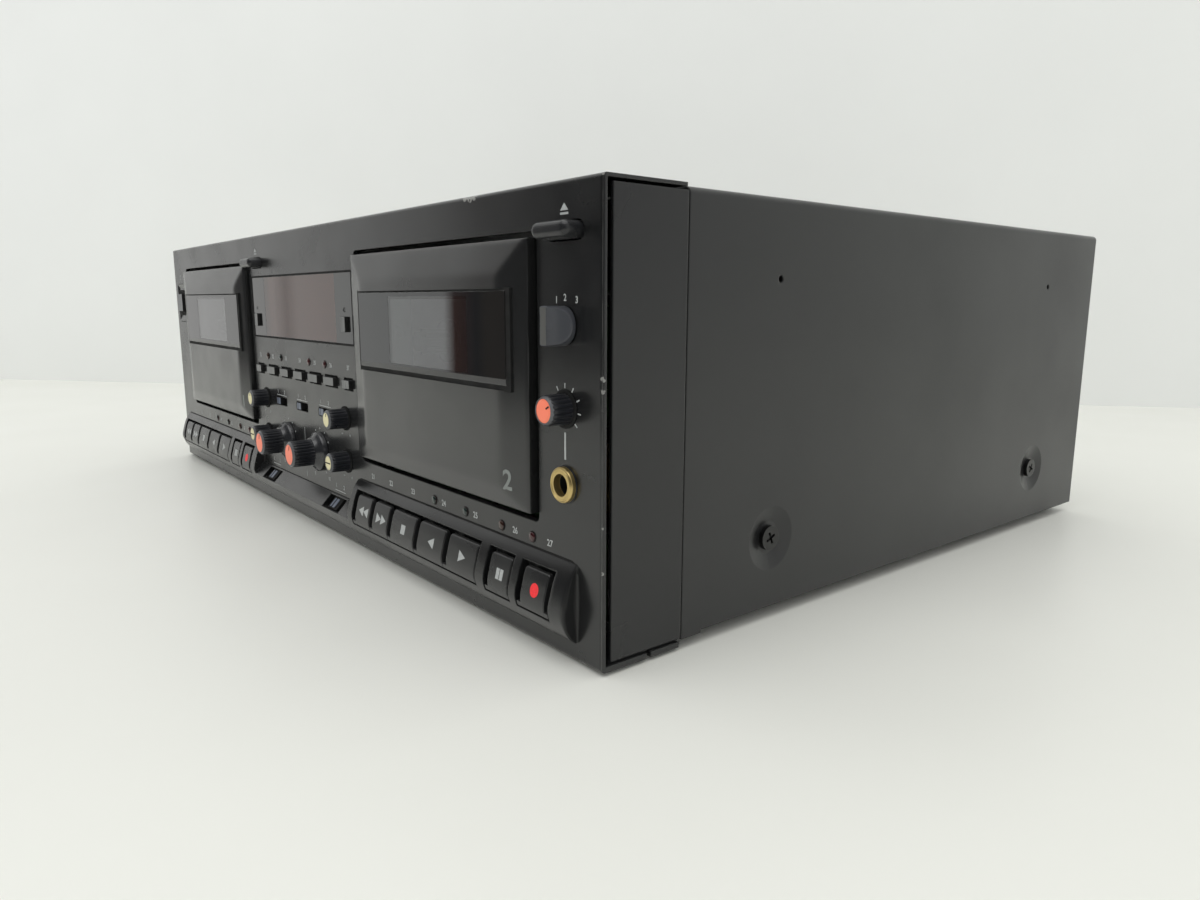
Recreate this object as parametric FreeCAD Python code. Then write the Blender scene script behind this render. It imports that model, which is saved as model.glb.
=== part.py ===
# Twin cassette duplicator, built as an assembly of separate pieces.
#
# Millimetres.  Every piece is modelled in panel coordinates: x runs to the right from the
# middle of the front, y runs back from the panel's face, z runs up from the panel's lower
# edge.  The last step moves every piece so that the origin is the middle of the footprint,
# on the surface that the feet stand on.

import FreeCAD, Part
import math
import os

# ---- case ----------------------------------------------------------------------------
BODY_D = 301.0           # panel face to the cover's rear edge
PANEL_LIFT = 1.2         # panel's lower edge above the surface
KNOB_PROUD = 14.5        # front of the level knobs before the panel face
REAR_PROUD = 8.5         # end of the rear sockets behind the cover's rear edge

# ---- clearances ----------------------------------------------------------------------
RUN_GAP = 0.05           # shaft in its bore
SLIDE_GAP = 0.35         # button or slide in its opening
SEAT_GAP = 0.3           # moving piece before the face that stops it
SKIN_GAP = 0.1           # folded sheet inside the panel's outline
PANE_GAP = 0.15          # pane in its opening
SCREW_GAP = 0.1          # screw in its hole

# ---- front moulding and sheet --------------------------------------------------------
PANEL_T = 2.5
RIM_T = 1.3              # panel's thin rim at the shadow gap
EDGE_R = 1.2
FLANGE_D = 29.3          # moulding's top and bottom flanges
FLANGE_T = 1.6
TOP_FLANGE_T = 1.0
SHADOW_GAP = 2.0         # between the panel's rim and the side wing
NOTCH_Y = 16.6
NOTCH_W = 1.6
NOTCH_DEEP = 5.0
SHEET_T = 1.2
COVER_T = 1.0
COVER_Y = 30.4           # cover's front edge
COVER_DROP = 0.7         # cover's top below the panel's top
COVER_BOTTOM = 3.2
COVER_R = 2.0
COVER_TAB_L = 8.2
COVER_TAB_H = 1.1
WING_SEAM = 0.4          # between the side wing and the cover
WING_LIFT = 1.1          # wing above the bottom flange
WING_TOP_GAP = 0.9       # wing below the top flange
WING_HEM = 12.0          # fold behind the wing's lower edge

# ---- cover screws and their dimples --------------------------------------------------
DIMPLE_R = 10.5
DIMPLE_FLOOR_R = 5.2
DIMPLE_DEEP = 1.6
COVER_SCREW_Y = (70.0, 254.0)
COVER_SCREW_Z = 26.0
COVER_HOLE_RISE = 81.3   # small hole above each cover screw
COVER_HOLE_R = 1.1
SCREW_R = 1.5
SCREW_HEAD_R = 4.0
SCREW_L = 9.0
SCREW_TURN = 25.0        # first screw's cross, and how far each next one is turned
SCREW_TURN_STEP = 40.0
REAR_SCREW_HEAD_R = 3.0
REAR_SCREW_L = 6.0
CROSS_W = 0.9
CROSS_L = 4.2
CROSS_DEEP = 0.8

# ---- vent slots in the cover's top ---------------------------------------------------
VENT_COUNT = 17
VENT_PITCH = 9.0
VENT_W = 3.2
VENT_L = 62.0
VENT_BACK = 42.0         # slots' rear end before the cover's rear edge

# ---- chassis -------------------------------------------------------------------------
WALL_H = 42.0            # tray's walls inside the cover
REAR_RECESS = 1.0        # rear plate inside the cover's rear edge
REAR_LIP = 12.0
REAR_UPSTAND = 9.0
REAR_SCREW_PITCH = 126.0
REAR_SCREW_COUNT = 4
POST_R = 3.0
POST_H = 8.0
FOOT_R = 9.0
FOOT_IN = 39.5           # feet in from the sides
FOOT_FRONT = 46.0
FOOT_BACK = 29.0         # rear feet in from the cover's rear edge

# ---- cassette, which the decks are made round ----------------------------------------
CASSETTE_W = 100.4
CASSETTE_H = 63.8
CASSETTE_T = 12.0
HUB_SPACING = 42.5
HUB_ABOVE = 35.0         # reel hubs above the cassette's lower edge
RAIL_GAP = 0.8
RAIL_T = 2.0
RAIL_LIP = 4.0
RAIL_TOE = 6.0
RAIL_DROP = 4.8          # rails' upper end below the cassette's top

# ---- doors ---------------------------------------------------------------------------
DOOR_SIDE = 6.9          # door past the rails
DOOR_BELOW = 11.65       # door below the cassette
DOOR_ABOVE = 2.9
DOOR_SIDE_GAP = 1.95
DOOR_TOP_GAP = 1.9
DOOR_BOTTOM_GAP = 2.55
DOOR_HOLE_R = 2.0
DOOR_EDGE_PROUD = 1.0
DOOR_FACE_PROUD = 3.0
DOOR_BACK = 3.0
BEVEL_SIDE = 12.0
BEVEL_TOP = 10.0
BEVEL_BOTTOM = 6.5
HINGE_R = 2.6
HINGE_PIN_R = 1.5
HINGE_PIN_L = 5.2
HINGE_EAR_W = 4.0
HINGE_EAR_WALL = 2.2
WINDOW_SIDE = 7.7        # window in from the door's sides
WINDOW_TOP = 13.45
WINDOW_H = 28.5
WINDOW_LEDGE = 1.8       # pane's hidden rim behind the door's face
WINDOW_T = 2.2
WINDOW_RIM_T = 1.4

# ---- tape mechanisms -----------------------------------------------------------------
MECH_CLEAR = 2.2         # frame behind the rails
MECH_T = 3.0
MECH_FOOT = 15.0
SHROUD_OUT = 0.35        # bay wall outside the door's opening
SHROUD_T = 1.5
SPINDLE_R = 3.6
SPINDLE_FIN = 1.0
SPINDLE_FINS = 6
SPINDLE_CLEAR = 3.5      # spindle's tip behind the door
SPINDLE_FLANGE_R = 8.0
SPINDLE_FLANGE_T = 1.6
SPINDLE_SHAFT_R = 1.5
REEL_DISC_R = 12.0
REEL_DISC_T = 3.0
HEAD_W = 16.0
HEAD_H = 9.0
HEAD_D = 10.0
HEAD_DROP = 1.0          # resting heads below the cassette
HEAD_BASE_W = 84.0
HEAD_BASE_T = 2.0
ROLLER_R = 4.5
ROLLER_X = 33.0
CAPSTAN_R = 1.1
CAPSTAN_UP = 4.5         # capstans above the cassette's lower edge
FLYWHEEL_R = 18.0
FLYWHEEL_T = 7.0
FLYWHEEL_CLEAR = 6.0     # flywheel behind the frame
MOTOR_R = 15.0
MOTOR_L = 28.0
MOTOR_LIFT = 5.0

# ---- ledge with the transport keys ---------------------------------------------------
# Outline of the bulging ledge, from its top edge to its bottom edge: proud, height.
LEDGE_OUTLINE = ((0.0, 28.5), (3.1, 23.7), (4.9, 18.0), (5.6, 14.6), (4.9, 11.2), (3.0, 7.6), (0.8, 5.6))
SLOPE_TOP_Z = 17.7       # sloping middle of the ledge, where it meets the panel
SLOPE_DROP = 5.9         # its fall over the ledge's full depth
KEY_NAMES = ("rewind", "forward", "stop", "reverse", "play")
KEY_WIDE = 21.2
KEY_NARROW = 15.9
KEY_NARROW_COUNT = 2
KEY_GAP = 0.9
KEY_ROW_IN = 4.0         # first key opening in from the ledge's end
PAUSE_SPACE = 4.9
PAUSE_W = 14.4
RECORD_SPACE = 3.6
RECORD_W = 16.8
LEDGE_REST = 6.6         # ledge past the record key's opening
KEY_Z = 11.0
KEY_H = 14.2
KEY_PROUD = 0.8
KEY_TRAVEL = 1.5
KEY_STEM_IN = 3.0        # stem in from the key's edges
KEY_BACK = 7.0
LAMP_R = 1.5
LAMP_PROUD = 0.3
KEY_LAMP_RISE = 3.3      # lamps above the ledge
KEY_LAMP_IN = {"reverse": 7.0, "play": 7.1, "pause": 2.2, "record": 0.9}

# ---- middle section, from the ledge upwards ------------------------------------------
BALANCE_RISE = 5.9
PITCH_RISE = 18.0
ROW_RISE = 14.5
ROW_LAMP_RISE = 6.7
DISPLAY_RISE = 16.1
EJECT_RISE = 6.8         # eject bars above the display
ROW_COUNT = 7
ROW_PITCH = 18.2
ROW_BUTTON_W = 13.0
ROW_END_W = 8.4
ROW_BUTTON_H = 4.4
ROW_PROUD = 2.0
ROW_LAMP_X = (-43.3, -25.0, 11.3, 29.8)
MIDDLE_MARGIN = 1.2      # middle section past the row's end buttons
DISPLAY_OVER = 1.6       # display past the middle section
DISPLAY_H = 29.0
DISPLAY_RIM = 1.2
DISPLAY_RIM_T = 1.2
TUBE_W = 84.0
TUBE_H = 20.0
DISPLAY_BUTTON_IN = 7.3  # display's buttons in from its ends
DISPLAY_BUTTON_RISE = 8.1
DISPLAY_BUTTON_W = 8.0
DISPLAY_BUTTON_H = 6.8
DISPLAY_BUTTON_PROUD = 1.8
OPTION_PITCH = 27.3
OPTION_W = 14.0
OPTION_H = 3.9
OPTION_KNOB_W = 6.0
OPTION_PROUD = 0.4
OPTION_BACK = 5.0
NOISE_X = 39.5
NOISE_W = 17.5
NOISE_H = 4.9
NOISE_Z = 12.2
NOISE_KNOB_W = 9.0
NOISE_SINK = 0.9         # slide's front under the sloping face
NOISE_BACK = 4.0

# ---- turning knobs -------------------------------------------------------------------
SMALL_KNOB_IN = 10.7     # small knobs in from the middle section's edge
SMALL_KNOB_PROUD = 8.0
SMALL_SKIRT_R = 5.1
SMALL_SKIRT_T = 0.6
SMALL_BARREL_R = 3.6
SMALL_CAP_R = 3.0
LEVEL_X = 20.0
LEVEL_SKIRT_R = 8.3
LEVEL_SKIRT_T = 1.8
LEVEL_BARREL_R = 5.8
LEVEL_CAP_R = 4.8
PHONES_KNOB_PROUD = 7.8
PHONES_SKIRT_R = 5.6
PHONES_SKIRT_T = 0.8
PHONES_BARREL_R = 4.2
PHONES_CAP_R = 3.6
FLUTE_DEEP = 0.35
FLUTES = 20
CAP_SINK = 1.2
CAP_CROWN = 0.3
SHAFT_R = 2.0
SHAFT_HOLE_R = 2.8
SELECTOR_R = 5.7
SELECTOR_BASE_T = 1.4
SELECTOR_BAR_W = 3.3
SELECTOR_PROUD = 8.6

# ---- right column, left margin and the panel's edges ---------------------------------
DOOR_OVER_LEDGE = 10.85
DOOR_INSET = 6.85        # door past the middle section
COLUMN_GAP = 14.65       # door to the right column's axis
COLUMN_MARGIN = 16.2     # that axis to the panel's edge
TOP_BAND = 12.4          # panel above the doors' openings
PHONES_RISE = 21.9
PHONES_KNOB_RISE = 21.1
SELECTOR_RISE = 22.5
EJECT_IN = 7.0           # left eject bar in from the middle section's edge
EJECT_W = 16.4
EJECT_H = 4.6
EJECT_PROUD = 6.0
EJECT_BACK = 8.0
POWER_IN = 14.5          # power button in from the panel's left edge
POWER_DROP = 32.7        # power button below the panel's top
POWER_W = 10.0
POWER_H = 11.4
POWER_PROUD = 1.4
POWER_HOLE_EXTRA = 1.6   # open gap above and below the power button
POWER_BACK = 5.5
DISH_W = 17.0
DISH_H = 22.4
DISH_DEEP = 0.7
DISH_INSET = 2.4
BUTTON_BACK = 6.5
EASE_SHARE = 0.15        # rounding of a button's front, as a share of its smaller size
COLLAR_OUT = 0.8         # button's collar behind the panel, past the button's sides
COLLAR_T = 1.0

# ---- sockets -------------------------------------------------------------------------
PHONES_BORE_R = 3.2
PHONES_BUSH_R = 4.2
PHONES_NUT_R = 5.1
PHONES_NUT_T = 1.8
PHONES_BODY = 16.0
PHONES_BODY_D = 22.0
PHONES_WALL = 1.6
RCA_R = 4.15
RCA_BORE_R = 1.7
RCA_PITCH = 14.0
RCA_PLATE_T = 1.5
RCA_Z = 70.0
RCA_BLOCK_X = (60.0, 105.0)
RCA_BACK = 12.0
INLET_IN = 64.8          # inlet's middle in from the tray's wall
INLET_Z = 45.0
INLET_HOLE_W = 24.6
INLET_HOLE_H = 17.0
INLET_WALL = 1.6
INLET_RIM = 3.6          # inlet's flange past its body
INLET_FLANGE_T = 2.5
INLET_BODY_D = 22.0
INLET_PIN_L = 12.0
INLET_PIN_W = 2.0
INLET_PIN_H = 4.0
INLET_PIN_X = 7.0
INLET_PIN_DROP = 2.0
INLET_EARTH_RISE = 2.5

# ---- circuit boards ------------------------------------------------------------------
BOARD_T = 1.6
BOARD_Y = 12.0
BOARD_EDGE = 3.0         # front boards in from the section that they serve
BOARD_Z = 5.0
STRIP_OVER = 1.2         # key board above its lamps
SIDE_BOARD_W = 21.0
STAND_R = 2.0
STAND_EDGE = 1.0         # board past its stands
POT_W = 10.0
POT_CLEAR = 2.0          # rotary control behind the panel
MAIN_X0 = -120.0
MAIN_X1 = 100.0
MAIN_Y0 = 80.0
MAIN_Y1 = 235.0
CAPACITOR_COUNT = 4
CAPACITOR_R = 9.0
CAPACITOR_H = 32.0
CHIP_W = 22.0
CHIP_D = 14.0
CHIP_T = 3.2
HEAT_SINK_L = 90.0
HEAT_SINK_H = 34.0
HEAT_SINK_T = 5.0
HEAT_SINK_D = 20.0
HEAT_SINK_FINS = 7
HEAT_SINK_FIN_T = 1.5
CORE_W = 62.0
CORE_D = 40.0
CORE_H = 54.0
CORE_IN = 15.6           # transformer in from the tray's wall
CORE_REST = 13.0         # transformer's coil before the inlet
COIL_OVER = 9.0
COIL_W = 36.0
COIL_H = 34.0

# ---- widths, worked out from the middle outwards -------------------------------------
MIDDLE_X = (ROW_COUNT - 1) / 2 * ROW_PITCH + ROW_END_W / 2 + MIDDLE_MARGIN
DOOR_W = CASSETTE_W + 2 * (RAIL_GAP + RAIL_T + DOOR_SIDE)
DECK_X = MIDDLE_X + DOOR_INSET + DOOR_W / 2
HOLE_HALF = DOOR_W / 2 + DOOR_SIDE_GAP
SHROUD_HALF = HOLE_HALF + SHROUD_OUT + SHROUD_T
RIGHT_X = DECK_X + DOOR_W / 2 + COLUMN_GAP
PANEL_X = RIGHT_X + COLUMN_MARGIN               # half of the panel's width
SKIN_X = PANEL_X - SKIN_GAP                     # outer face of cover and wings
WALL_X = SKIN_X - COVER_T - DIMPLE_DEEP         # outer face of the tray's walls
INLET_X = INLET_IN - WALL_X
CORE_X = SHEET_T + CORE_IN + CORE_W / 2 - WALL_X
DISPLAY_W = 2 * (MIDDLE_X + DISPLAY_OVER)
DISPLAY_BUTTON_X = DISPLAY_W / 2 - DISPLAY_BUTTON_IN
SMALL_KNOB_X = MIDDLE_X - SMALL_KNOB_IN
WINDOW_W = DOOR_W - 2 * WINDOW_SIDE
POWER_X = POWER_IN - PANEL_X
EJECT_X = (EJECT_IN - MIDDLE_X, RIGHT_X)
FOOT_X = PANEL_X - FOOT_IN
KEY_ROW_W = KEY_NARROW_COUNT * KEY_NARROW + (len(KEY_NAMES) - KEY_NARROW_COUNT) * KEY_WIDE + KEY_GAP
PAUSE_IN = KEY_ROW_IN + KEY_ROW_W + PAUSE_SPACE
RECORD_IN = PAUSE_IN + PAUSE_W + RECORD_SPACE
LEDGE_L = RECORD_IN + RECORD_W + LEDGE_REST
LEDGE_OUT = MIDDLE_X + LEDGE_L

# ---- heights, worked out from the ledge upwards --------------------------------------
LEDGE_TOP = LEDGE_OUTLINE[0][1]
LEDGE_BOTTOM = LEDGE_OUTLINE[-1][1]
LEDGE_PROUD = max(proud for proud, _ in LEDGE_OUTLINE)
KEY_LAMP_Z = LEDGE_TOP + KEY_LAMP_RISE
DOOR_Z = LEDGE_TOP + DOOR_OVER_LEDGE
CASSETTE_Z = DOOR_Z + DOOR_BELOW
HUB_Z = CASSETTE_Z + HUB_ABOVE
CAPSTAN_Z = CASSETTE_Z + CAPSTAN_UP
HEAD_Z = CASSETTE_Z - HEAD_DROP - HEAD_H
DOOR_TOP = CASSETTE_Z + CASSETTE_H + DOOR_ABOVE
HOLE_LOW = DOOR_Z - DOOR_BOTTOM_GAP
HOLE_TOP = DOOR_TOP + DOOR_TOP_GAP
HINGE_Z = DOOR_Z + HINGE_R
WINDOW_Z = DOOR_TOP - WINDOW_TOP - WINDOW_H / 2
PANEL_H = HOLE_TOP + TOP_BAND
BALANCE_Z = LEDGE_TOP + BALANCE_RISE
PITCH_Z = BALANCE_Z + PITCH_RISE
ROW_Z = PITCH_Z + ROW_RISE
ROW_LAMP_Z = ROW_Z + ROW_LAMP_RISE
DISPLAY_Z = ROW_Z + DISPLAY_RISE + DISPLAY_H / 2
DISPLAY_TOP = DISPLAY_Z + DISPLAY_H / 2
DISPLAY_BUTTON_Z = DISPLAY_Z - DISPLAY_H / 2 + DISPLAY_BUTTON_RISE
EJECT_Z = DISPLAY_TOP + EJECT_RISE
PHONES_Z = LEDGE_TOP + PHONES_RISE
PHONES_KNOB_Z = PHONES_Z + PHONES_KNOB_RISE
SELECTOR_Z = PHONES_KNOB_Z + SELECTOR_RISE
POWER_Z = PANEL_H - POWER_DROP
COVER_TOP = PANEL_H - COVER_DROP
COVER_HOLE_Z = COVER_SCREW_Z + COVER_HOLE_RISE
TRAY_Z = FLANGE_T                               # underside of the tray
FLOOR_Z = TRAY_Z + SHEET_T                      # tray's upper face
REAR_SCREW_Z = FLOOR_Z + REAR_UPSTAND / 2
MOTOR_Z = FLOOR_Z + MOTOR_LIFT + MOTOR_R

# ---- depths, worked out from the panel backwards -------------------------------------
WING_Y = RIM_T + SHADOW_GAP
HINGE_Y = DOOR_BACK
RAIL_Y = DOOR_BACK + CASSETTE_T + RAIL_GAP      # front of the rails' lips
MECH_Y = RAIL_Y + RAIL_T + MECH_CLEAR
FRAME_BACK = MECH_Y + MECH_T
SPINDLE_TIP_Y = DOOR_BACK + SPINDLE_CLEAR
FLYWHEEL_Y = FRAME_BACK + FLYWHEEL_CLEAR
PANE_STEP = WINDOW_T - DOOR_FACE_PROUD          # where the window's hidden rim begins
POT_Y = PANEL_T + POT_CLEAR
REAR_Y = BODY_D - REAR_RECESS                   # outer face of the rear plate
REAR_IN_Y = REAR_Y - SHEET_T
CORE_Y = REAR_Y - INLET_BODY_D - CORE_REST - COIL_OVER - CORE_D / 2

# ---- places that several pieces share ------------------------------------------------
DECKS = (("1", -DECK_X, -LEDGE_OUT), ("2", DECK_X, MIDDLE_X))   # number, deck middle, ledge's left end
KNOB_SPOTS = (
    (-SMALL_KNOB_X, PITCH_Z), (SMALL_KNOB_X, PITCH_Z),
    (-SMALL_KNOB_X, BALANCE_Z), (SMALL_KNOB_X, BALANCE_Z),
    (-LEVEL_X, BALANCE_Z), (LEVEL_X, BALANCE_Z),
    (RIGHT_X, PHONES_KNOB_Z), (RIGHT_X, SELECTOR_Z),
)
PAST = 1.0               # how far a cutting tool runs past what it cuts

V = FreeCAD.Vector
X_AXIS = V(1, 0, 0)
Y_AXIS = V(0, 1, 0)
Z_AXIS = V(0, 0, 1)
NODES = {}


# ---- shape helpers -------------------------------------------------------------------
def box(x0, x1, y0, y1, z0, z1):
    """Block between two corners."""
    return Part.makeBox(x1 - x0, y1 - y0, z1 - z0, V(x0, y0, z0))


def side_box(side, x0, x1, y0, y1, z0, z1):
    """Block on the right, or its mirror image on the left for a side of -1."""
    low, high = sorted((side * x0, side * x1))
    return box(low, high, y0, y1, z0, z1)


def rod_x(x, y, z, radius, length):
    """Cylinder along x, its middle at x."""
    return Part.makeCylinder(radius, length, V(x - length / 2, y, z), X_AXIS)


def rod_y(x, z, radius, y0, y1):
    """Cylinder along the depth, from y0 back to y1."""
    return Part.makeCylinder(radius, y1 - y0, V(x, y0, z), Y_AXIS)


def rod_z(x, y, radius, z0, z1):
    """Upright cylinder."""
    return Part.makeCylinder(radius, z1 - z0, V(x, y, z0), Z_AXIS)


def pad(x, z, width, height, y0, y1):
    """Block given by the middle of its front face, its width and its height."""
    return box(x - width / 2, x + width / 2, y0, y1, z - height / 2, z + height / 2)


def stadium(x, z, width, height, y0, y1):
    """Bar with round ends, lying along x."""
    reach = (width - height) / 2
    ends = [rod_y(x + side * reach, z, height / 2, y0, y1) for side in (-1, 1)]
    return join([pad(x, z, 2 * reach, height, y0, y1)] + ends)


def rectangle(x, z, width, height, y):
    """Upright rectangular wire round a middle."""
    x0 = x - width / 2
    z0 = z - height / 2
    corners = [V(x0, y, z0), V(x0 + width, y, z0), V(x0 + width, y, z0 + height), V(x0, y, z0 + height)]
    return Part.makePolygon(corners + [corners[0]])


def frustum(front, back):
    """Solid between two rectangular wires."""
    return Part.makeLoft([front, back], True, True)


def prism(points, x0, x1):
    """Outline of (y, z) points carried along x."""
    path = [V(x0, y, z) for y, z in points]
    wire = Part.makePolygon(path + [path[0]])
    return Part.Face(wire).extrude(V(x1 - x0, 0, 0))


def fluted(x, z, radius, y0, y1):
    """Ribbed knob barrel: a star outline carried along the depth."""
    corners = []
    for index in range(2 * FLUTES):
        angle = math.pi * index / FLUTES
        reach = radius - FLUTE_DEEP * (index % 2)
        corners.append(V(x + reach * math.cos(angle), y0, z + reach * math.sin(angle)))
    wire = Part.makePolygon(corners + [corners[0]])
    return Part.Face(wire).extrude(V(0, y1 - y0, 0))


def edges_along(shape, axis):
    """Straight edges that run along one axis."""
    found = []
    for edge in shape.Edges:
        run = edge.Vertexes[-1].Point.sub(edge.Vertexes[0].Point)
        if run.Length > 0 and abs(run.dot(axis)) > 0.999 * run.Length:
            found.append(edge)
    return found


def ease_front(shape, radius):
    """Round every edge that lies in the shape's front face."""
    front = shape.BoundBox.YMin
    edges = [edge for edge in shape.Edges if edge.BoundBox.YMax < front + radius]
    return shape.makeFillet(radius, edges)


def join(shapes):
    """One solid from overlapping or touching ones."""
    return shapes[0].fuse(shapes[1:]).removeSplitter()


def keep(name, *shapes):
    """Store a node made of one solid or several separate ones."""
    NODES[name] = shapes


# ---- ledge outline -------------------------------------------------------------------
def ledge_solid(x0, x1, extra):
    """Length of the bulging ledge; extra pushes its outline out for a key's face."""
    points = [V(x0, -proud - extra, z) for proud, z in LEDGE_OUTLINE]
    curve = Part.BSplineCurve()
    curve.interpolate(points)
    corners = [points[-1], V(x0, 0, LEDGE_BOTTOM), V(x0, 0, LEDGE_TOP), points[0]]
    edges = [curve.toShape()]
    for start, end in zip(corners, corners[1:]):
        if start.distanceToPoint(end) > 0:
            edges.append(Part.LineSegment(start, end).toShape())
    return Part.Face(Part.Wire(edges)).extrude(V(x1 - x0, 0, 0))


def slope_cutter(x0, x1, sink):
    """What is taken off above the sloping middle of the ledge."""
    top = SLOPE_TOP_Z - sink
    far = LEDGE_PROUD + 2 * sink + PAST
    foot = top - far * SLOPE_DROP / LEDGE_PROUD
    roof = LEDGE_TOP + PAST
    return prism([(0, top), (-far, foot), (-far, roof), (0, roof)], x0, x1)


# ---- openings in the panel -----------------------------------------------------------
def key_openings(start):
    """Key openings of one bank as (left, right) pairs."""
    return (
        (start + KEY_ROW_IN, start + KEY_ROW_IN + KEY_ROW_W),
        (start + PAUSE_IN, start + PAUSE_IN + PAUSE_W),
        (start + RECORD_IN, start + RECORD_IN + RECORD_W),
    )


def key_spans(start):
    """Name, left and right side of every key of one bank."""
    spans = []
    left = start + KEY_ROW_IN + KEY_GAP
    for index, name in enumerate(KEY_NAMES):
        pitch = KEY_NARROW if index < KEY_NARROW_COUNT else KEY_WIDE
        spans.append((name, left, left + pitch - KEY_GAP))
        left += pitch
    for name, (begin, end) in zip(("pause", "record"), key_openings(start)[1:]):
        spans.append((name, begin + KEY_GAP, end - KEY_GAP))
    return spans


def key_stem(left, right, y0, y1, gap):
    """Stem that guides a key through the panel, or its opening with a gap."""
    inset = KEY_STEM_IN - gap
    low = KEY_Z + KEY_GAP + inset
    high = KEY_Z + KEY_H - KEY_GAP - inset
    return box(left + inset, right - inset, y0, y1, low, high)


def row_buttons():
    """Middle and width of each button in the row."""
    middle = (ROW_COUNT - 1) / 2
    spots = []
    for index in range(ROW_COUNT):
        width = ROW_END_W if index in (0, ROW_COUNT - 1) else ROW_BUTTON_W
        spots.append(((index - middle) * ROW_PITCH, width))
    return spots


def option_spots():
    """Middles of the three small slide switches."""
    return [index * OPTION_PITCH for index in (-1, 0, 1)]


def lamp_spots():
    """Every indicator lamp's place on the panel."""
    spots = [(x, ROW_LAMP_Z) for x in ROW_LAMP_X]
    for _, _, start in DECKS:
        for name, left, _ in key_spans(start):
            if name in KEY_LAMP_IN:
                spots.append((left + KEY_LAMP_IN[name], KEY_LAMP_Z))
    return spots


def panel_openings():
    """Every hole through the panel's plate."""
    through = (-PAST, PANEL_T + PAST)
    gap = 2 * SLIDE_GAP
    holes = [pad(0, DISPLAY_Z, DISPLAY_W + 2 * PANE_GAP, DISPLAY_H + 2 * PANE_GAP, *through)]
    for _, deck_x, _ in DECKS:
        hole = box(deck_x - HOLE_HALF, deck_x + HOLE_HALF, *through, HOLE_LOW, HOLE_TOP)
        holes.append(hole.makeFillet(DOOR_HOLE_R, edges_along(hole, Y_AXIS)))
    holes += [pad(x, ROW_Z, width + gap, ROW_BUTTON_H + gap, *through) for x, width in row_buttons()]
    holes += [pad(x, PITCH_Z, OPTION_W, OPTION_H, *through) for x in option_spots()]
    holes += [rod_y(x, z, SHAFT_HOLE_R, *through) for x, z in KNOB_SPOTS]
    holes += [stadium(x, EJECT_Z, EJECT_W + gap, EJECT_H + gap, *through) for x in EJECT_X]
    holes += [rod_y(x, z, LAMP_R + RUN_GAP, *through) for x, z in lamp_spots()]
    holes.append(rod_y(RIGHT_X, PHONES_Z, PHONES_BUSH_R + SCREW_GAP, *through))
    holes.append(pad(POWER_X, POWER_Z, POWER_W + gap, POWER_H + 2 * POWER_HOLE_EXTRA, *through))
    return holes


def ledge_openings():
    """Recesses for the keys with a guide for each stem, and the two sloping switches."""
    front = -LEDGE_PROUD - PAST
    holes = []
    for _, _, start in DECKS:
        holes += [box(begin, end, front, 0, KEY_Z, KEY_Z + KEY_H) for begin, end in key_openings(start)]
        holes += [key_stem(left, right, -PAST, PANEL_T + PAST, SLIDE_GAP)
                  for _, left, right in key_spans(start)]
    holes += [side_box(side, NOISE_X - NOISE_W / 2, NOISE_X + NOISE_W / 2, front, PANEL_T + PAST,
                       NOISE_Z, NOISE_Z + NOISE_H) for side in (-1, 1)]
    return holes


def power_dish():
    """Shallow dished surround of the power button."""
    narrow = 2 * DISH_INSET
    return frustum(rectangle(POWER_X, POWER_Z, DISH_W, DISH_H, 0),
                   rectangle(POWER_X, POWER_Z, DISH_W - narrow, DISH_H - narrow, DISH_DEEP))


# ---- front moulding ------------------------------------------------------------------
def hinge_ears(deck_x):
    """Bearing ears behind the panel, one each side of a door."""
    reach = HINGE_PIN_R + HINGE_EAR_WALL
    ears = []
    for side in (-1, 1):
        low, high = sorted((deck_x + side * HOLE_HALF, deck_x + side * (HOLE_HALF + HINGE_EAR_W)))
        ears.append(box(low, high, PANEL_T / 2, HINGE_Y + reach, HINGE_Z - reach, HINGE_Z + reach))
    return ears


def front_board_outlines():
    """Left, right, lower and upper edge of each board behind the panel, the control board first."""
    tall_top = DISPLAY_TOP + PANE_GAP + DISPLAY_RIM + 2 * STAND_R + 2 * STAND_EDGE
    outlines = [(BOARD_EDGE - MIDDLE_X, MIDDLE_X - BOARD_EDGE, BOARD_Z, tall_top)]
    strip_top = KEY_LAMP_Z + LAMP_R + STRIP_OVER
    for _, _, start in DECKS:
        outlines.append((start + BOARD_EDGE, start + LEDGE_L - BOARD_EDGE, BOARD_Z, strip_top))
    half = SIDE_BOARD_W / 2
    outlines.append((RIGHT_X - half, RIGHT_X + half, PHONES_KNOB_Z - POT_W, SELECTOR_Z + POT_W))
    outlines.append((POWER_X - half, POWER_X + half, POWER_Z - DISH_H / 2, POWER_Z + DISH_H / 2))
    return outlines


def stand_spots():
    """Stands that carry the boards: near their corners, clear of what the panel holds."""
    inset = STAND_R + STAND_EDGE
    control, strip_1, strip_2, column, power = front_board_outlines()
    left, right, _, top = control
    under_pots = BALANCE_Z - POT_W / 2 - inset
    spots = [(x, under_pots) for x in (left + inset, right - inset)]
    spots += [(side * (SMALL_KNOB_X - POT_W), top - inset) for side in (-1, 1)]
    for left, right, _, top in (strip_1, strip_2):
        spots += [(left + inset, top - inset), (right - inset, top - inset)]
    for left, right, low, top in (column, power):
        spots += [(x, z) for x in (left + inset, right - inset) for z in (low + inset, top - inset)]
    return spots


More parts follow.
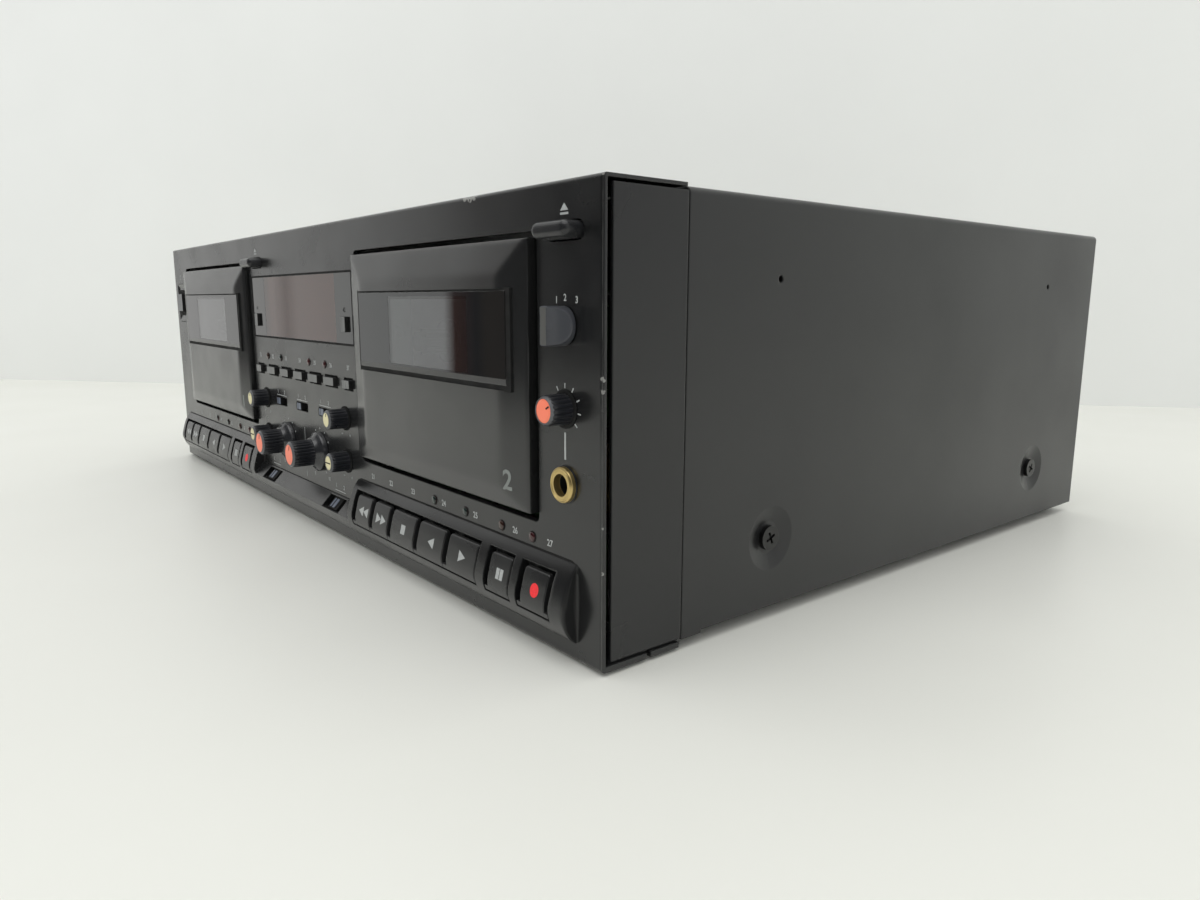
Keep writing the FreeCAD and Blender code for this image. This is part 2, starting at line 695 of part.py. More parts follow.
def make_front_bezel():
    """Front moulding: plate, two flanges, ledge, hinge ears and board stands."""
    shell = ease_front(box(-PANEL_X, PANEL_X, 0, FLANGE_D, 0, PANEL_H), EDGE_R)
    inner_top = PANEL_H - TOP_FLANGE_T
    hollow = box(-PANEL_X - PAST, PANEL_X + PAST, PANEL_T, FLANGE_D + PAST, FLANGE_T, inner_top)
    rims = [side_box(side, PANEL_X - SHADOW_GAP, PANEL_X + PAST, RIM_T, PANEL_T, FLANGE_T, inner_top)
            for side in (-1, 1)]
    notches = [side_box(side, PANEL_X - NOTCH_DEEP, PANEL_X + PAST, NOTCH_Y, NOTCH_Y + NOTCH_W,
                        -PAST, FLANGE_T + PAST) for side in (-1, 1)]
    shell = shell.cut([hollow] + rims + notches)
    middle = ledge_solid(-MIDDLE_X, MIDDLE_X, 0).cut(slope_cutter(-MIDDLE_X - PAST, MIDDLE_X + PAST, 0))
    banks = [ledge_solid(start, start + LEDGE_L, 0) for _, _, start in DECKS]
    ears = [ear for _, deck_x, _ in DECKS for ear in hinge_ears(deck_x)]
    stands = [rod_y(x, z, STAND_R, PANEL_T / 2, BOARD_Y) for x, z in stand_spots()]
    shell = join([shell, middle] + banks + ears + stands)
    bore_l = 2 * (HOLE_HALF + HINGE_EAR_W + PAST)
    bores = [rod_x(deck_x, HINGE_Y, HINGE_Z, HINGE_PIN_R + RUN_GAP, bore_l) for _, deck_x, _ in DECKS]
    keep("front_bezel", shell.cut([power_dish()] + panel_openings() + ledge_openings() + bores))


def make_display_window():
    """Smoked pane flush with the panel, with a rim behind it and two button openings."""
    back = PANEL_T + DISPLAY_RIM_T
    pane = pad(0, DISPLAY_Z, DISPLAY_W, DISPLAY_H, 0, PANEL_T)
    rim = pad(0, DISPLAY_Z, DISPLAY_W + 2 * DISPLAY_RIM, DISPLAY_H + 2 * DISPLAY_RIM, PANEL_T, back)
    gap = 2 * SLIDE_GAP
    holes = [pad(side * DISPLAY_BUTTON_X, DISPLAY_BUTTON_Z, DISPLAY_BUTTON_W + gap,
                 DISPLAY_BUTTON_H + gap, -PAST, back + PAST) for side in (-1, 1)]
    keep("display_window", join([pane, rim]).cut(holes))


# ---- case ----------------------------------------------------------------------------
def main_board_posts():
    """Where the main board stands."""
    inset = 2 * POST_R
    return [(x, y) for x in (MAIN_X0 + inset, MAIN_X1 - inset) for y in (MAIN_Y0 + inset, MAIN_Y1 - inset)]


def rear_screw_spots():
    """Screws along the rear plate's lower edge."""
    middle = (REAR_SCREW_COUNT - 1) / 2
    return [(index - middle) * REAR_SCREW_PITCH for index in range(REAR_SCREW_COUNT)]


def make_chassis_tray():
    """Folded steel tray: plate, side wings before the cover, inner walls and a rear upstand."""
    wing_end = COVER_Y - WING_SEAM
    wing_in = SKIN_X - SHEET_T
    parts = [
        box(-wing_in, wing_in, WING_Y, wing_end, TRAY_Z, FLOOR_Z),
        box(-WALL_X, WALL_X, WING_Y, REAR_IN_Y, TRAY_Z, FLOOR_Z),
        box(-WALL_X, WALL_X, REAR_IN_Y - SHEET_T, REAR_IN_Y, TRAY_Z, FLOOR_Z + REAR_UPSTAND),
    ]
    wing_top = PANEL_H - TOP_FLANGE_T - WING_TOP_GAP
    for side in (-1, 1):
        parts.append(side_box(side, wing_in, SKIN_X, WING_Y, wing_end, TRAY_Z + WING_LIFT, wing_top))
        parts.append(side_box(side, wing_in - SHEET_T, wing_in, WING_Y, wing_end, TRAY_Z, TRAY_Z + WING_HEM))
        parts.append(side_box(side, WALL_X - SHEET_T, WALL_X, COVER_Y, REAR_IN_Y, TRAY_Z, TRAY_Z + WALL_H))
    parts += [rod_z(x, y, POST_R, TRAY_Z, FLOOR_Z + POST_H) for x, y in main_board_posts()]
    hole_r = SCREW_R + SCREW_GAP
    holes = [rod_x(0, y, COVER_SCREW_Z, hole_r, 2 * SKIN_X) for y in COVER_SCREW_Y]
    holes += [rod_y(x, REAR_SCREW_Z, hole_r, REAR_IN_Y - SHEET_T - PAST, REAR_Y) for x in rear_screw_spots()]
    keep("chassis_tray", join(parts).cut(holes))


def dimple(y, side):
    """Conical dimple pressed into the cover's side: what is added and what is cut away."""
    inward = V(-side, 0, 0)
    outer_face = V(side * SKIN_X, y, COVER_SCREW_Z)
    inner_face = V(side * (SKIN_X - COVER_T), y, COVER_SCREW_Z)
    added = Part.makeCone(DIMPLE_R, DIMPLE_FLOOR_R + COVER_T, DIMPLE_DEEP, inner_face, inward)
    taken = Part.makeCone(DIMPLE_R, DIMPLE_FLOOR_R, DIMPLE_DEEP, outer_face, inward)
    return added, taken


def vent_slots():
    """Row of slots across the rear of the cover's top."""
    y1 = BODY_D - VENT_BACK
    middle = (VENT_COUNT - 1) / 2
    slots = []
    for index in range(VENT_COUNT):
        x = (index - middle) * VENT_PITCH
        slots.append(box(x - VENT_W / 2, x + VENT_W / 2, y1 - VENT_L, y1, COVER_TOP - COVER_T - PAST,
                         COVER_TOP + PAST))
    return slots


def ease_ridges(shape, radius):
    """Round the two upper edges that run from front to back."""
    top = shape.BoundBox.ZMax
    ridges = [edge for edge in edges_along(shape, Y_AXIS) if edge.BoundBox.ZMin > top - radius]
    return shape.makeFillet(radius, ridges)


def make_top_cover():
    """Folded steel cover over the top and both sides, with screw dimples and vents."""
    inner_x = SKIN_X - COVER_T
    outer = ease_ridges(box(-SKIN_X, SKIN_X, COVER_Y, BODY_D, COVER_BOTTOM, COVER_TOP), COVER_R)
    inner = ease_ridges(box(-inner_x, inner_x, COVER_Y - PAST, BODY_D + PAST, COVER_BOTTOM - PAST,
                            COVER_TOP - COVER_T), COVER_R - COVER_T)
    tabs = [side_box(side, inner_x, SKIN_X, COVER_Y, COVER_Y + COVER_TAB_L, COVER_BOTTOM - COVER_TAB_H,
                     COVER_BOTTOM) for side in (-1, 1)]
    dimples = [dimple(y, side) for y in COVER_SCREW_Y for side in (-1, 1)]
    skin = join([outer.cut(inner)] + tabs + [added for added, _ in dimples])
    holes = [taken for _, taken in dimples]
    length = 2 * (SKIN_X + PAST)
    for y in COVER_SCREW_Y:
        holes.append(rod_x(0, y, COVER_SCREW_Z, SCREW_R + 2 * SCREW_GAP, length))
        holes.append(rod_x(0, y, COVER_HOLE_Z, COVER_HOLE_R, length))
    keep("top_cover", skin.cut(holes + vent_slots()))


def rca_spots(block_x):
    """Places of one block's four phono sockets."""
    half = RCA_PITCH / 2
    return [(block_x + dx, RCA_Z + dz) for dx in (-half, half) for dz in (-half, half)]


def inlet_body():
    """Width and height of the mains inlet's body."""
    return INLET_HOLE_W + 2 * INLET_WALL, INLET_HOLE_H + 2 * INLET_WALL


def make_rear_panel():
    """Rear plate with a lip under the cover's top and openings for the sockets."""
    under = COVER_TOP - COVER_T
    through = (REAR_IN_Y - PAST, REAR_Y + PAST)
    plate = box(-WALL_X, WALL_X, REAR_IN_Y, REAR_Y, FLOOR_Z, under)
    lip = box(-WALL_X, WALL_X, REAR_IN_Y - REAR_LIP, REAR_IN_Y, under - SHEET_T, under)
    holes = [rod_y(x, z, RCA_R + SCREW_GAP, *through) for block_x in RCA_BLOCK_X
             for x, z in rca_spots(block_x)]
    holes += [rod_y(x, REAR_SCREW_Z, SCREW_R + SCREW_GAP, *through) for x in rear_screw_spots()]
    width, height = inlet_body()
    holes.append(pad(INLET_X, INLET_Z, width + 2 * SCREW_GAP, height + 2 * SCREW_GAP, *through))
    keep("rear_panel", join([plate, lip]).cut(holes))


def make_feet():
    """Four low pads under the tray."""
    keep("feet", *[rod_z(x, y, FOOT_R, -PANEL_LIFT, TRAY_Z)
                   for x in (-FOOT_X, FOOT_X) for y in (FOOT_FRONT, BODY_D - FOOT_BACK)])


def screw(head_r, length, index):
    """Cross-head screw along y: head behind y = 0, shank before it; index turns its cross."""
    head = rod_y(0, 0, head_r, 0, DIMPLE_DEEP)
    shank = rod_y(0, 0, SCREW_R, -length, 0)
    floor = DIMPLE_DEEP - CROSS_DEEP
    cross = [pad(0, 0, CROSS_L, CROSS_W, floor, DIMPLE_DEEP + PAST),
             pad(0, 0, CROSS_W, CROSS_L, floor, DIMPLE_DEEP + PAST)]
    piece = join([head, shank]).cut(cross)
    piece.rotate(V(0, 0, 0), Y_AXIS, SCREW_TURN + index * SCREW_TURN_STEP)
    return piece


def make_case_screws():
    """Cover screws in their dimples and the rear plate's screws."""
    screws = []
    for index, y in enumerate(COVER_SCREW_Y):
        for side in (-1, 1):
            piece = screw(SCREW_HEAD_R, SCREW_L, index)
            piece.rotate(V(0, 0, 0), Z_AXIS, -90.0 * side)
            piece.translate(V(side * (SKIN_X - DIMPLE_DEEP), y, COVER_SCREW_Z))
            screws.append(piece)
    for index, x in enumerate(rear_screw_spots()):
        piece = screw(REAR_SCREW_HEAD_R, REAR_SCREW_L, index)
        piece.translate(V(x, REAR_Y, REAR_SCREW_Z))
        screws.append(piece)
    keep("case_screws", *screws)


# ---- sockets -------------------------------------------------------------------------
def mains_inlet():
    """Mains inlet: flange, body with its cavity, and three pins."""
    width, height = inlet_body()
    rim = 2 * INLET_RIM
    flange = pad(INLET_X, INLET_Z, width + rim, height + rim, REAR_Y, REAR_Y + INLET_FLANGE_T)
    body = pad(INLET_X, INLET_Z, width, height, REAR_Y - INLET_BODY_D, REAR_Y)
    floor_y = REAR_Y - INLET_BODY_D + INLET_WALL
    cavity = pad(INLET_X, INLET_Z, INLET_HOLE_W, INLET_HOLE_H, floor_y, REAR_Y + INLET_FLANGE_T + PAST)
    spots = ((-INLET_PIN_X, -INLET_PIN_DROP), (INLET_PIN_X, -INLET_PIN_DROP), (0.0, INLET_EARTH_RISE))
    pins = [pad(INLET_X + dx, INLET_Z + dz, INLET_PIN_W, INLET_PIN_H, floor_y - INLET_WALL / 2,
                floor_y + INLET_PIN_L) for dx, dz in spots]
    return join([join([flange, body]).cut(cavity)] + pins)


def rca_block(block_x):
    """Block of four phono sockets: barrels, a plate outside and a body inside."""
    size = 2 * RCA_PITCH
    end = BODY_D + REAR_PROUD
    plate = pad(block_x, RCA_Z, size, size, REAR_Y, REAR_Y + RCA_PLATE_T)
    body = pad(block_x, RCA_Z, size, size, REAR_IN_Y - RCA_BACK, REAR_IN_Y)
    barrels = [rod_y(x, z, RCA_R, REAR_IN_Y - PAST, end) for x, z in rca_spots(block_x)]
    bores = [rod_y(x, z, RCA_BORE_R, REAR_IN_Y - RCA_BACK / 2, end + PAST) for x, z in rca_spots(block_x)]
    return join([plate, body] + barrels).cut(bores)


def make_sockets():
    """Phones socket in the panel; phono sockets and mains inlet in the rear plate."""
    nut = ease_front(rod_y(RIGHT_X, PHONES_Z, PHONES_NUT_R, -PHONES_NUT_T, 0), PHONES_NUT_T / 3)
    bush = rod_y(RIGHT_X, PHONES_Z, PHONES_BUSH_R, -PHONES_NUT_T / 2, PANEL_T + PAST)
    back = PANEL_T + PHONES_BODY_D
    body = pad(RIGHT_X, PHONES_Z, PHONES_BODY, PHONES_BODY, PANEL_T, back)
    bore = rod_y(RIGHT_X, PHONES_Z, PHONES_BORE_R, -PHONES_NUT_T - PAST, back - PHONES_WALL)
    keep("phones_socket", join([nut, bush, body]).cut(bore))
    keep("rear_sockets", *[rca_block(x) for x in RCA_BLOCK_X], mains_inlet())


# ---- electronics ---------------------------------------------------------------------
def make_lamps():
    """Indicator lamps, each from the panel's face back to its board."""
    keep("indicator_lamps", *[rod_y(x, z, LAMP_R, -LAMP_PROUD, BOARD_Y) for x, z in lamp_spots()])


def rotary_control(x, z):
    """Rotary control on a front board, bored for its knob's shaft."""
    bore = rod_y(x, z, SHAFT_R + RUN_GAP, POT_Y - PAST, BOARD_Y + PAST)
    return pad(x, z, POT_W, POT_W, POT_Y, BOARD_Y).cut(bore)


def heat_sink(x, y, z):
    """Finned heat sink standing on the main board."""
    step = (HEAT_SINK_L - HEAT_SINK_FIN_T) / (HEAT_SINK_FINS - 1)
    plates = [box(x, x + HEAT_SINK_L, y, y + HEAT_SINK_T, z, z + HEAT_SINK_H)]
    for index in range(HEAT_SINK_FINS):
        fin_x = x + index * step
        plates.append(box(fin_x, fin_x + HEAT_SINK_FIN_T, y, y + HEAT_SINK_D, z, z + HEAT_SINK_H))
    return join(plates)


def main_board():
    """Main board with its capacitors, chips and heat sink."""
    low = FLOOR_Z + POST_H
    top = low + BOARD_T
    bay = (MAIN_X1 - MAIN_X0) / (CAPACITOR_COUNT + 1)
    middle_y = (MAIN_Y0 + MAIN_Y1) / 2
    pieces = [box(MAIN_X0, MAIN_X1, MAIN_Y0, MAIN_Y1, low, top),
              heat_sink(MAIN_X0 + bay, MAIN_Y0 + HEAT_SINK_D, top)]
    for step in range(CAPACITOR_COUNT):
        x = MAIN_X0 + (step + 1) * bay
        pieces.append(rod_z(x, MAIN_Y1 - 3 * CAPACITOR_R, CAPACITOR_R, top, top + CAPACITOR_H))
        pieces.append(box(x - CHIP_W / 2, x + CHIP_W / 2, middle_y, middle_y + CHIP_D, top, top + CHIP_T))
    return pieces


def make_circuit_boards():
    """Front boards with what stands on them, and the main board."""
    back = BOARD_Y + BOARD_T
    boards = [box(x0, x1, BOARD_Y, back, z0, z1) for x0, x1, z0, z1 in front_board_outlines()]
    tube = pad(0, DISPLAY_Z, TUBE_W, TUBE_H, (PANEL_T + BOARD_Y) / 2, BOARD_Y)
    controls = [rotary_control(x, z) for x, z in KNOB_SPOTS]
    keep("circuit_boards", *boards, tube, *controls, *main_board())


def make_power_transformer():
    """Mains transformer: laminated core on the tray and its coil."""
    middle = FLOOR_Z + CORE_H / 2
    coil_y = CORE_D / 2 + COIL_OVER
    core = box(CORE_X - CORE_W / 2, CORE_X + CORE_W / 2, CORE_Y - CORE_D / 2, CORE_Y + CORE_D / 2,
               FLOOR_Z, FLOOR_Z + CORE_H)
    coil = box(CORE_X - COIL_W / 2, CORE_X + COIL_W / 2, CORE_Y - coil_y, CORE_Y + coil_y,
               middle - COIL_H / 2, middle + COIL_H / 2)
    keep("power_transformer", core.cut(coil), coil)


# ---- cassette decks ------------------------------------------------------------------
def cassette_rails(deck_x):
    """Two channels behind the door that hold the cassette by its ends."""
    inner = CASSETTE_W / 2 + RAIL_GAP
    outer = inner + RAIL_T
    back = RAIL_Y + RAIL_T
    low = CASSETTE_Z - RAIL_T
    top = CASSETTE_Z + CASSETTE_H - RAIL_DROP
    root = DOOR_BACK / 2
    walls = ((inner, root, top), (inner - RAIL_LIP, RAIL_Y, top), (inner - RAIL_TOE, root, CASSETTE_Z))
    rails = []
    for side in (-1, 1):
        for reach, y0, z1 in walls:
            x0, x1 = sorted((deck_x + side * reach, deck_x + side * outer))
            rails.append(box(x0, x1, y0, back, low, z1))
    return rails


def make_door(number, deck_x):
    """Door with a bevelled face, window opening, cassette rails and hinge pins; and its pane."""
    middle = (DOOR_Z + DOOR_TOP) / 2
    face_low = DOOR_Z + BEVEL_BOTTOM
    face_high = DOOR_TOP - BEVEL_TOP
    plate = pad(deck_x, middle, DOOR_W, DOOR_TOP - DOOR_Z, -DOOR_EDGE_PROUD, DOOR_BACK)
    crown = frustum(rectangle(deck_x, middle, DOOR_W, DOOR_TOP - DOOR_Z, -DOOR_EDGE_PROUD),
                    rectangle(deck_x, (face_low + face_high) / 2, DOOR_W - 2 * BEVEL_SIDE,
                              face_high - face_low, -DOOR_FACE_PROUD))
    barrel = rod_x(deck_x, HINGE_Y, HINGE_Z, HINGE_R, DOOR_W)
    pin = rod_x(deck_x, HINGE_Y, HINGE_Z, HINGE_PIN_R, DOOR_W + 2 * HINGE_PIN_L)
    shell = join([plate, crown, barrel, pin] + cassette_rails(deck_x))
    sight = 2 * PANE_GAP
    rim = 2 * WINDOW_LEDGE
    openings = [
        pad(deck_x, WINDOW_Z, WINDOW_W + sight, WINDOW_H + sight, -DOOR_FACE_PROUD - PAST, DOOR_BACK),
        pad(deck_x, WINDOW_Z, WINDOW_W + rim + sight, WINDOW_H + rim + sight, PANE_STEP, DOOR_BACK + PAST),
    ]
    keep("door_" + number, shell.cut(openings))
    front = pad(deck_x, WINDOW_Z, WINDOW_W, WINDOW_H, -DOOR_FACE_PROUD, PANE_STEP)
    flange = pad(deck_x, WINDOW_Z, WINDOW_W + rim, WINDOW_H + rim, PANE_STEP, PANE_STEP + WINDOW_RIM_T)
    keep("door_window_" + number, join([front, flange]))


def mechanism_frame(deck_x):
    """Pressed frame behind a cassette bay with a foot on the tray, and the shroud round the bay."""
    top = HOLE_TOP + SHROUD_OUT + SHROUD_T
    wall_low = HINGE_Z + HINGE_PIN_R + 2 * HINGE_EAR_WALL
    left = deck_x - SHROUD_HALF
    right = deck_x + SHROUD_HALF
    plate = join([
        box(left, right, MECH_Y, FRAME_BACK, FLOOR_Z, top),
        box(left, right, MECH_Y, MECH_Y + MECH_FOOT, FLOOR_Z, FLOOR_Z + MECH_T),
    ])
    bores = []
    for x, z, radius in ((HUB_SPACING / 2, HUB_Z, SPINDLE_SHAFT_R), (ROLLER_X, CAPSTAN_Z, CAPSTAN_R)):
        bores += [rod_y(deck_x + side * x, z, radius + RUN_GAP, MECH_Y - PAST, FRAME_BACK + PAST)
                  for side in (-1, 1)]
    shroud = join([
        box(left, right, PANEL_T, MECH_Y, top - SHROUD_T, top),
        box(left, left + SHROUD_T, PANEL_T, MECH_Y, wall_low, top),
        box(right - SHROUD_T, right, PANEL_T, MECH_Y, wall_low, top),
    ])
    return [plate.cut(bores), shroud]


def mechanism_parts(deck_x):
    """Head block, pinch rollers, capstans, their flywheels, and the motor."""
    base_y = MECH_Y - HEAD_BASE_T
    head_y = base_y - HEAD_D
    middle = HEAD_Z + HEAD_H / 2
    wheel_end = FLYWHEEL_Y + FLYWHEEL_T
    pieces = [
        pad(deck_x, middle, HEAD_BASE_W, HEAD_H, base_y, MECH_Y),
        pad(deck_x, middle, HEAD_W, HEAD_H, head_y, base_y),
        rod_y(deck_x, MOTOR_Z, MOTOR_R, FRAME_BACK, FRAME_BACK + MOTOR_L),
    ]
    for side in (-1, 1):
        x = deck_x + side * ROLLER_X
        pieces.append(rod_y(x, middle, ROLLER_R, head_y, base_y))
        bore = rod_y(x, CAPSTAN_Z, CAPSTAN_R + RUN_GAP, FLYWHEEL_Y - PAST, wheel_end + PAST)
        pieces.append(rod_y(x, CAPSTAN_Z, CAPSTAN_R, SPINDLE_TIP_Y, wheel_end))
        pieces.append(rod_y(x, CAPSTAN_Z, FLYWHEEL_R, FLYWHEEL_Y, wheel_end).cut([bore]))
    return pieces


def make_tape_mechanisms():
    """Both tape mechanisms."""
    pieces = []
    for _, deck_x, _ in DECKS:
        pieces += mechanism_frame(deck_x) + mechanism_parts(deck_x)
    keep("tape_mechanisms", *pieces)


def make_spindle(name, x):
    """Reel spindle: finned tip, flange, shaft through the frame and a disc behind it."""
    seat_y = MECH_Y - SEAT_GAP
    flange_y = seat_y - SPINDLE_FLANGE_T
    disc_y = FRAME_BACK + SEAT_GAP
    parts = [
        rod_y(x, HUB_Z, SPINDLE_R, SPINDLE_TIP_Y, flange_y),
        rod_y(x, HUB_Z, SPINDLE_FLANGE_R, flange_y, seat_y),
        rod_y(x, HUB_Z, SPINDLE_SHAFT_R, flange_y, disc_y),
        rod_y(x, HUB_Z, REEL_DISC_R, disc_y, disc_y + REEL_DISC_T),
    ]
    for index in range(SPINDLE_FINS):
        fin = box(x - SPINDLE_FIN / 2, x + SPINDLE_FIN / 2, SPINDLE_TIP_Y + SPINDLE_FLANGE_T, flange_y,
                  HUB_Z, HUB_Z + SPINDLE_R + SPINDLE_FIN)
        fin.rotate(V(x, 0, HUB_Z), Y_AXIS, 360.0 * index / SPINDLE_FINS)
        parts.append(fin)
    keep(name, join(parts))


# ---- controls ------------------------------------------------------------------------
def make_keys(number, start):
    """Transport keys of one bank, their faces standing a little out of the ledge."""
    back = -KEY_TRAVEL - SEAT_GAP
    low = KEY_Z + KEY_GAP
    high = KEY_Z + KEY_H - KEY_GAP
    for name, left, right in key_spans(start):
        window = box(left, right, -LEDGE_PROUD - KEY_PROUD - PAST, back, low, high)
        face = ledge_solid(left, right, KEY_PROUD).common(window)
        keep("key_" + name + "_" + number, join([face, key_stem(left, right, back, KEY_BACK, 0)]))


def make_push_button(name, spot, size, proud, collar_y, back):
    """Rectangular push button with an eased front and a collar that keeps it in its opening."""
    x, z = spot
    width, height = size
    body = ease_front(pad(x, z, width, height, -proud, back), EASE_SHARE * min(proud, height))
    collar = pad(x, z, width + 2 * COLLAR_OUT, height + 2 * COLLAR_OUT, collar_y, collar_y + COLLAR_T)
    keep(name, join([body, collar]))


def make_buttons():
    """Row buttons, display buttons, power button and the two eject bars."""
    behind = PANEL_T + SEAT_GAP
    out = 2 * COLLAR_OUT
    for index, (x, width) in enumerate(row_buttons()):
        make_push_button("row_button_%d" % (index + 1), (x, ROW_Z), (width, ROW_BUTTON_H), ROW_PROUD,
                         behind, BUTTON_BACK)
    for number, side in (("1", -1), ("2", 1)):
        make_push_button("display_button_" + number, (side * DISPLAY_BUTTON_X, DISPLAY_BUTTON_Z),
                         (DISPLAY_BUTTON_W, DISPLAY_BUTTON_H), DISPLAY_BUTTON_PROUD,
                         behind + DISPLAY_RIM_T, BUTTON_BACK)
    make_push_button("power_button", (POWER_X, POWER_Z), (POWER_W, POWER_H), POWER_PROUD, behind, POWER_BACK)
    for number, x in zip(("1", "2"), EJECT_X):
        bar = stadium(x, EJECT_Z, EJECT_W, EJECT_H, -EJECT_PROUD, EJECT_BACK)
        bar = ease_front(bar, EASE_SHARE * EJECT_H)
        collar = stadium(x, EJECT_Z, EJECT_W + out, EJECT_H + out, behind, behind + COLLAR_T)
        keep("eject_button_" + number, join([bar, collar]))


def make_slides():
    """Three small slide switches and the two in the sloping face."""
    half = OPTION_H / 2 - SLIDE_GAP
    for index, x in enumerate(option_spots()):
        left = x - OPTION_W / 2 + SLIDE_GAP
        keep("option_slide_%d" % (index + 1),
             box(left, left + OPTION_KNOB_W, -OPTION_PROUD, OPTION_BACK, PITCH_Z - half, PITCH_Z + half))
    for number, side in (("1", -1), ("2", 1)):
        x0 = side * NOISE_X - NOISE_KNOB_W / 2
        x1 = side * NOISE_X + NOISE_KNOB_W / 2
        block = box(x0, x1, -LEDGE_PROUD, NOISE_BACK, NOISE_Z + SLIDE_GAP, NOISE_Z + NOISE_H - SLIDE_GAP)
        keep("noise_slide_" + number, block.cut(slope_cutter(x0 - PAST, x1 + PAST, NOISE_SINK)))


def make_knob(name, spot, proud, skirt, barrel_r, cap_r):
    """Fluted knob with a skirt and shaft, and the coloured cap set into its end."""
    x, z = spot
    skirt_r, skirt_t = skirt
    rim_y = CAP_CROWN - proud
    floor_y = rim_y + CAP_SINK
    body = join([
        rod_y(x, z, skirt_r, -SEAT_GAP - skirt_t, -SEAT_GAP),
        fluted(x, z, barrel_r, rim_y, -SEAT_GAP),
        rod_y(x, z, SHAFT_R, -SEAT_GAP, BOARD_Y - PAST),
    ])
    seat = rod_y(x, z, cap_r + RUN_GAP, -proud - PAST, floor_y)
    cap = ease_front(rod_y(x, z, cap_r, -proud, floor_y), 0.9 * CAP_CROWN)
    keep(name, body.cut(seat), cap)


def make_knobs():
    """Pitch, balance, level and phones knobs."""
    small = (SMALL_SKIRT_R, SMALL_SKIRT_T)
    level = (LEVEL_SKIRT_R, LEVEL_SKIRT_T)
    for number, side in (("1", -1), ("2", 1)):
        for row, z in (("pitch", PITCH_Z), ("balance", BALANCE_Z)):
            make_knob(row + "_knob_" + number, (side * SMALL_KNOB_X, z), SMALL_KNOB_PROUD, small,
                      SMALL_BARREL_R, SMALL_CAP_R)
        make_knob("level_knob_" + number, (side * LEVEL_X, BALANCE_Z), KNOB_PROUD, level,
                  LEVEL_BARREL_R, LEVEL_CAP_R)
    make_knob("phones_knob", (RIGHT_X, PHONES_KNOB_Z), PHONES_KNOB_PROUD,
              (PHONES_SKIRT_R, PHONES_SKIRT_T), PHONES_BARREL_R, PHONES_CAP_R)


def make_selector():
    """Selector knob: a round base with an upright finger bar between two scooped flanks."""
    scoop_r = SELECTOR_PROUD - SEAT_GAP - SELECTOR_BASE_T
    body = rod_y(RIGHT_X, SELECTOR_Z, SELECTOR_R, -SELECTOR_PROUD, -SEAT_GAP)
    reach = SELECTOR_R + PAST
    scoops = [rod_z(RIGHT_X + side * (SELECTOR_BAR_W / 2 + scoop_r), -SELECTOR_PROUD, scoop_r,
                    SELECTOR_Z - reach, SELECTOR_Z + reach) for side in (-1, 1)]
    shaft = rod_y(RIGHT_X, SELECTOR_Z, SHAFT_R, -SEAT_GAP, BOARD_Y - PAST)
    keep("monitor_selector", join([body.cut(scoops), shaft]))


# ---- everything ----------------------------------------------------------------------
def make_all():
    """Build every node."""
    make_front_bezel()
    make_display_window()
    make_chassis_tray()
    make_top_cover()
    make_rear_panel()
    make_feet()
    make_case_screws()
    make_sockets()
    make_lamps()
    make_circuit_boards()
    make_power_transformer()
    make_tape_mechanisms()
    for number, deck_x, start in DECKS:
        make_door(number, deck_x)
        make_spindle("spindle_left_" + number, deck_x - HUB_SPACING / 2)
        make_spindle("spindle_right_" + number, deck_x + HUB_SPACING / 2)
        make_keys(number, start)
    make_buttons()
    make_slides()
    make_knobs()
    make_selector()


def export_all():
    """Move every node to the shared frame and write it."""
    os.makedirs("parts", exist_ok=True)
    panel_y = -(BODY_D + REAR_PROUD - KNOB_PROUD) / 2
    shift = V(0, panel_y, PANEL_LIFT)
    for name, shapes in NODES.items():
        solids = []
        for shape in shapes:
            moved = shape.copy()
            moved.translate(shift)
            solids += moved.Solids
        node = solids[0] if len(solids) == 1 else Part.makeCompound(solids)
        node.exportStep("parts/" + name + ".step")
        bounds = node.BoundBox
        print("%-20s %2d of %2d solid(s) %10.1f mm3  valid %s  x %.2f..%.2f y %.2f..%.2f z %.2f..%.2f" % (
            name, len(solids), len(shapes), node.Volume, node.isValid(), bounds.XMin, bounds.XMax,
            bounds.YMin, bounds.YMax, bounds.ZMin, bounds.ZMax))
    print(len(NODES), "nodes; panel face at y = %.3f" % panel_y)


make_all()
export_all()
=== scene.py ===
# Looks of a twin cassette duplicator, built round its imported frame.
#
# Panel coordinates are in millimetres: x to the right from the middle of the front, y back from
# the panel's face, z up from the panel's lower edge.  Every surface is worked out in them and
# moved to the shared frame, in metres, when it becomes a piece.
import logging
import math
from collections.abc import Iterable, Sequence
from dataclasses import dataclass, field
from enum import Enum

import bmesh
import bpy
import numpy as np
from mathutils import Matrix, Vector


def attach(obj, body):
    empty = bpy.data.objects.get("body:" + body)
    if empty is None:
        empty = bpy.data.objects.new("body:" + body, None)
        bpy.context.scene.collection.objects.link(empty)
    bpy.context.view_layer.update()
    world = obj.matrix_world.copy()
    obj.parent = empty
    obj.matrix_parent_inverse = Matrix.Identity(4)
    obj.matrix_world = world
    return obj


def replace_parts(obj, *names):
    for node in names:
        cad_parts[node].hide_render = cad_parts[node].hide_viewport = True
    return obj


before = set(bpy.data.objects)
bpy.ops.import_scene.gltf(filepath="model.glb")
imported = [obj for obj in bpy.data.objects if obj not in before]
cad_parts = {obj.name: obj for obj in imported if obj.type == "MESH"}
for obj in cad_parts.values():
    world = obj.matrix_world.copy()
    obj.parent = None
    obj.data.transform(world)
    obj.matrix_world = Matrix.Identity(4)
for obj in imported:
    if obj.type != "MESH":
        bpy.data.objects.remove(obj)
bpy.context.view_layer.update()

LOG = logging.getLogger("duplicator")
MM = 0.001
PANEL_FACE_Y = -147.5    # panel's face in the shared frame
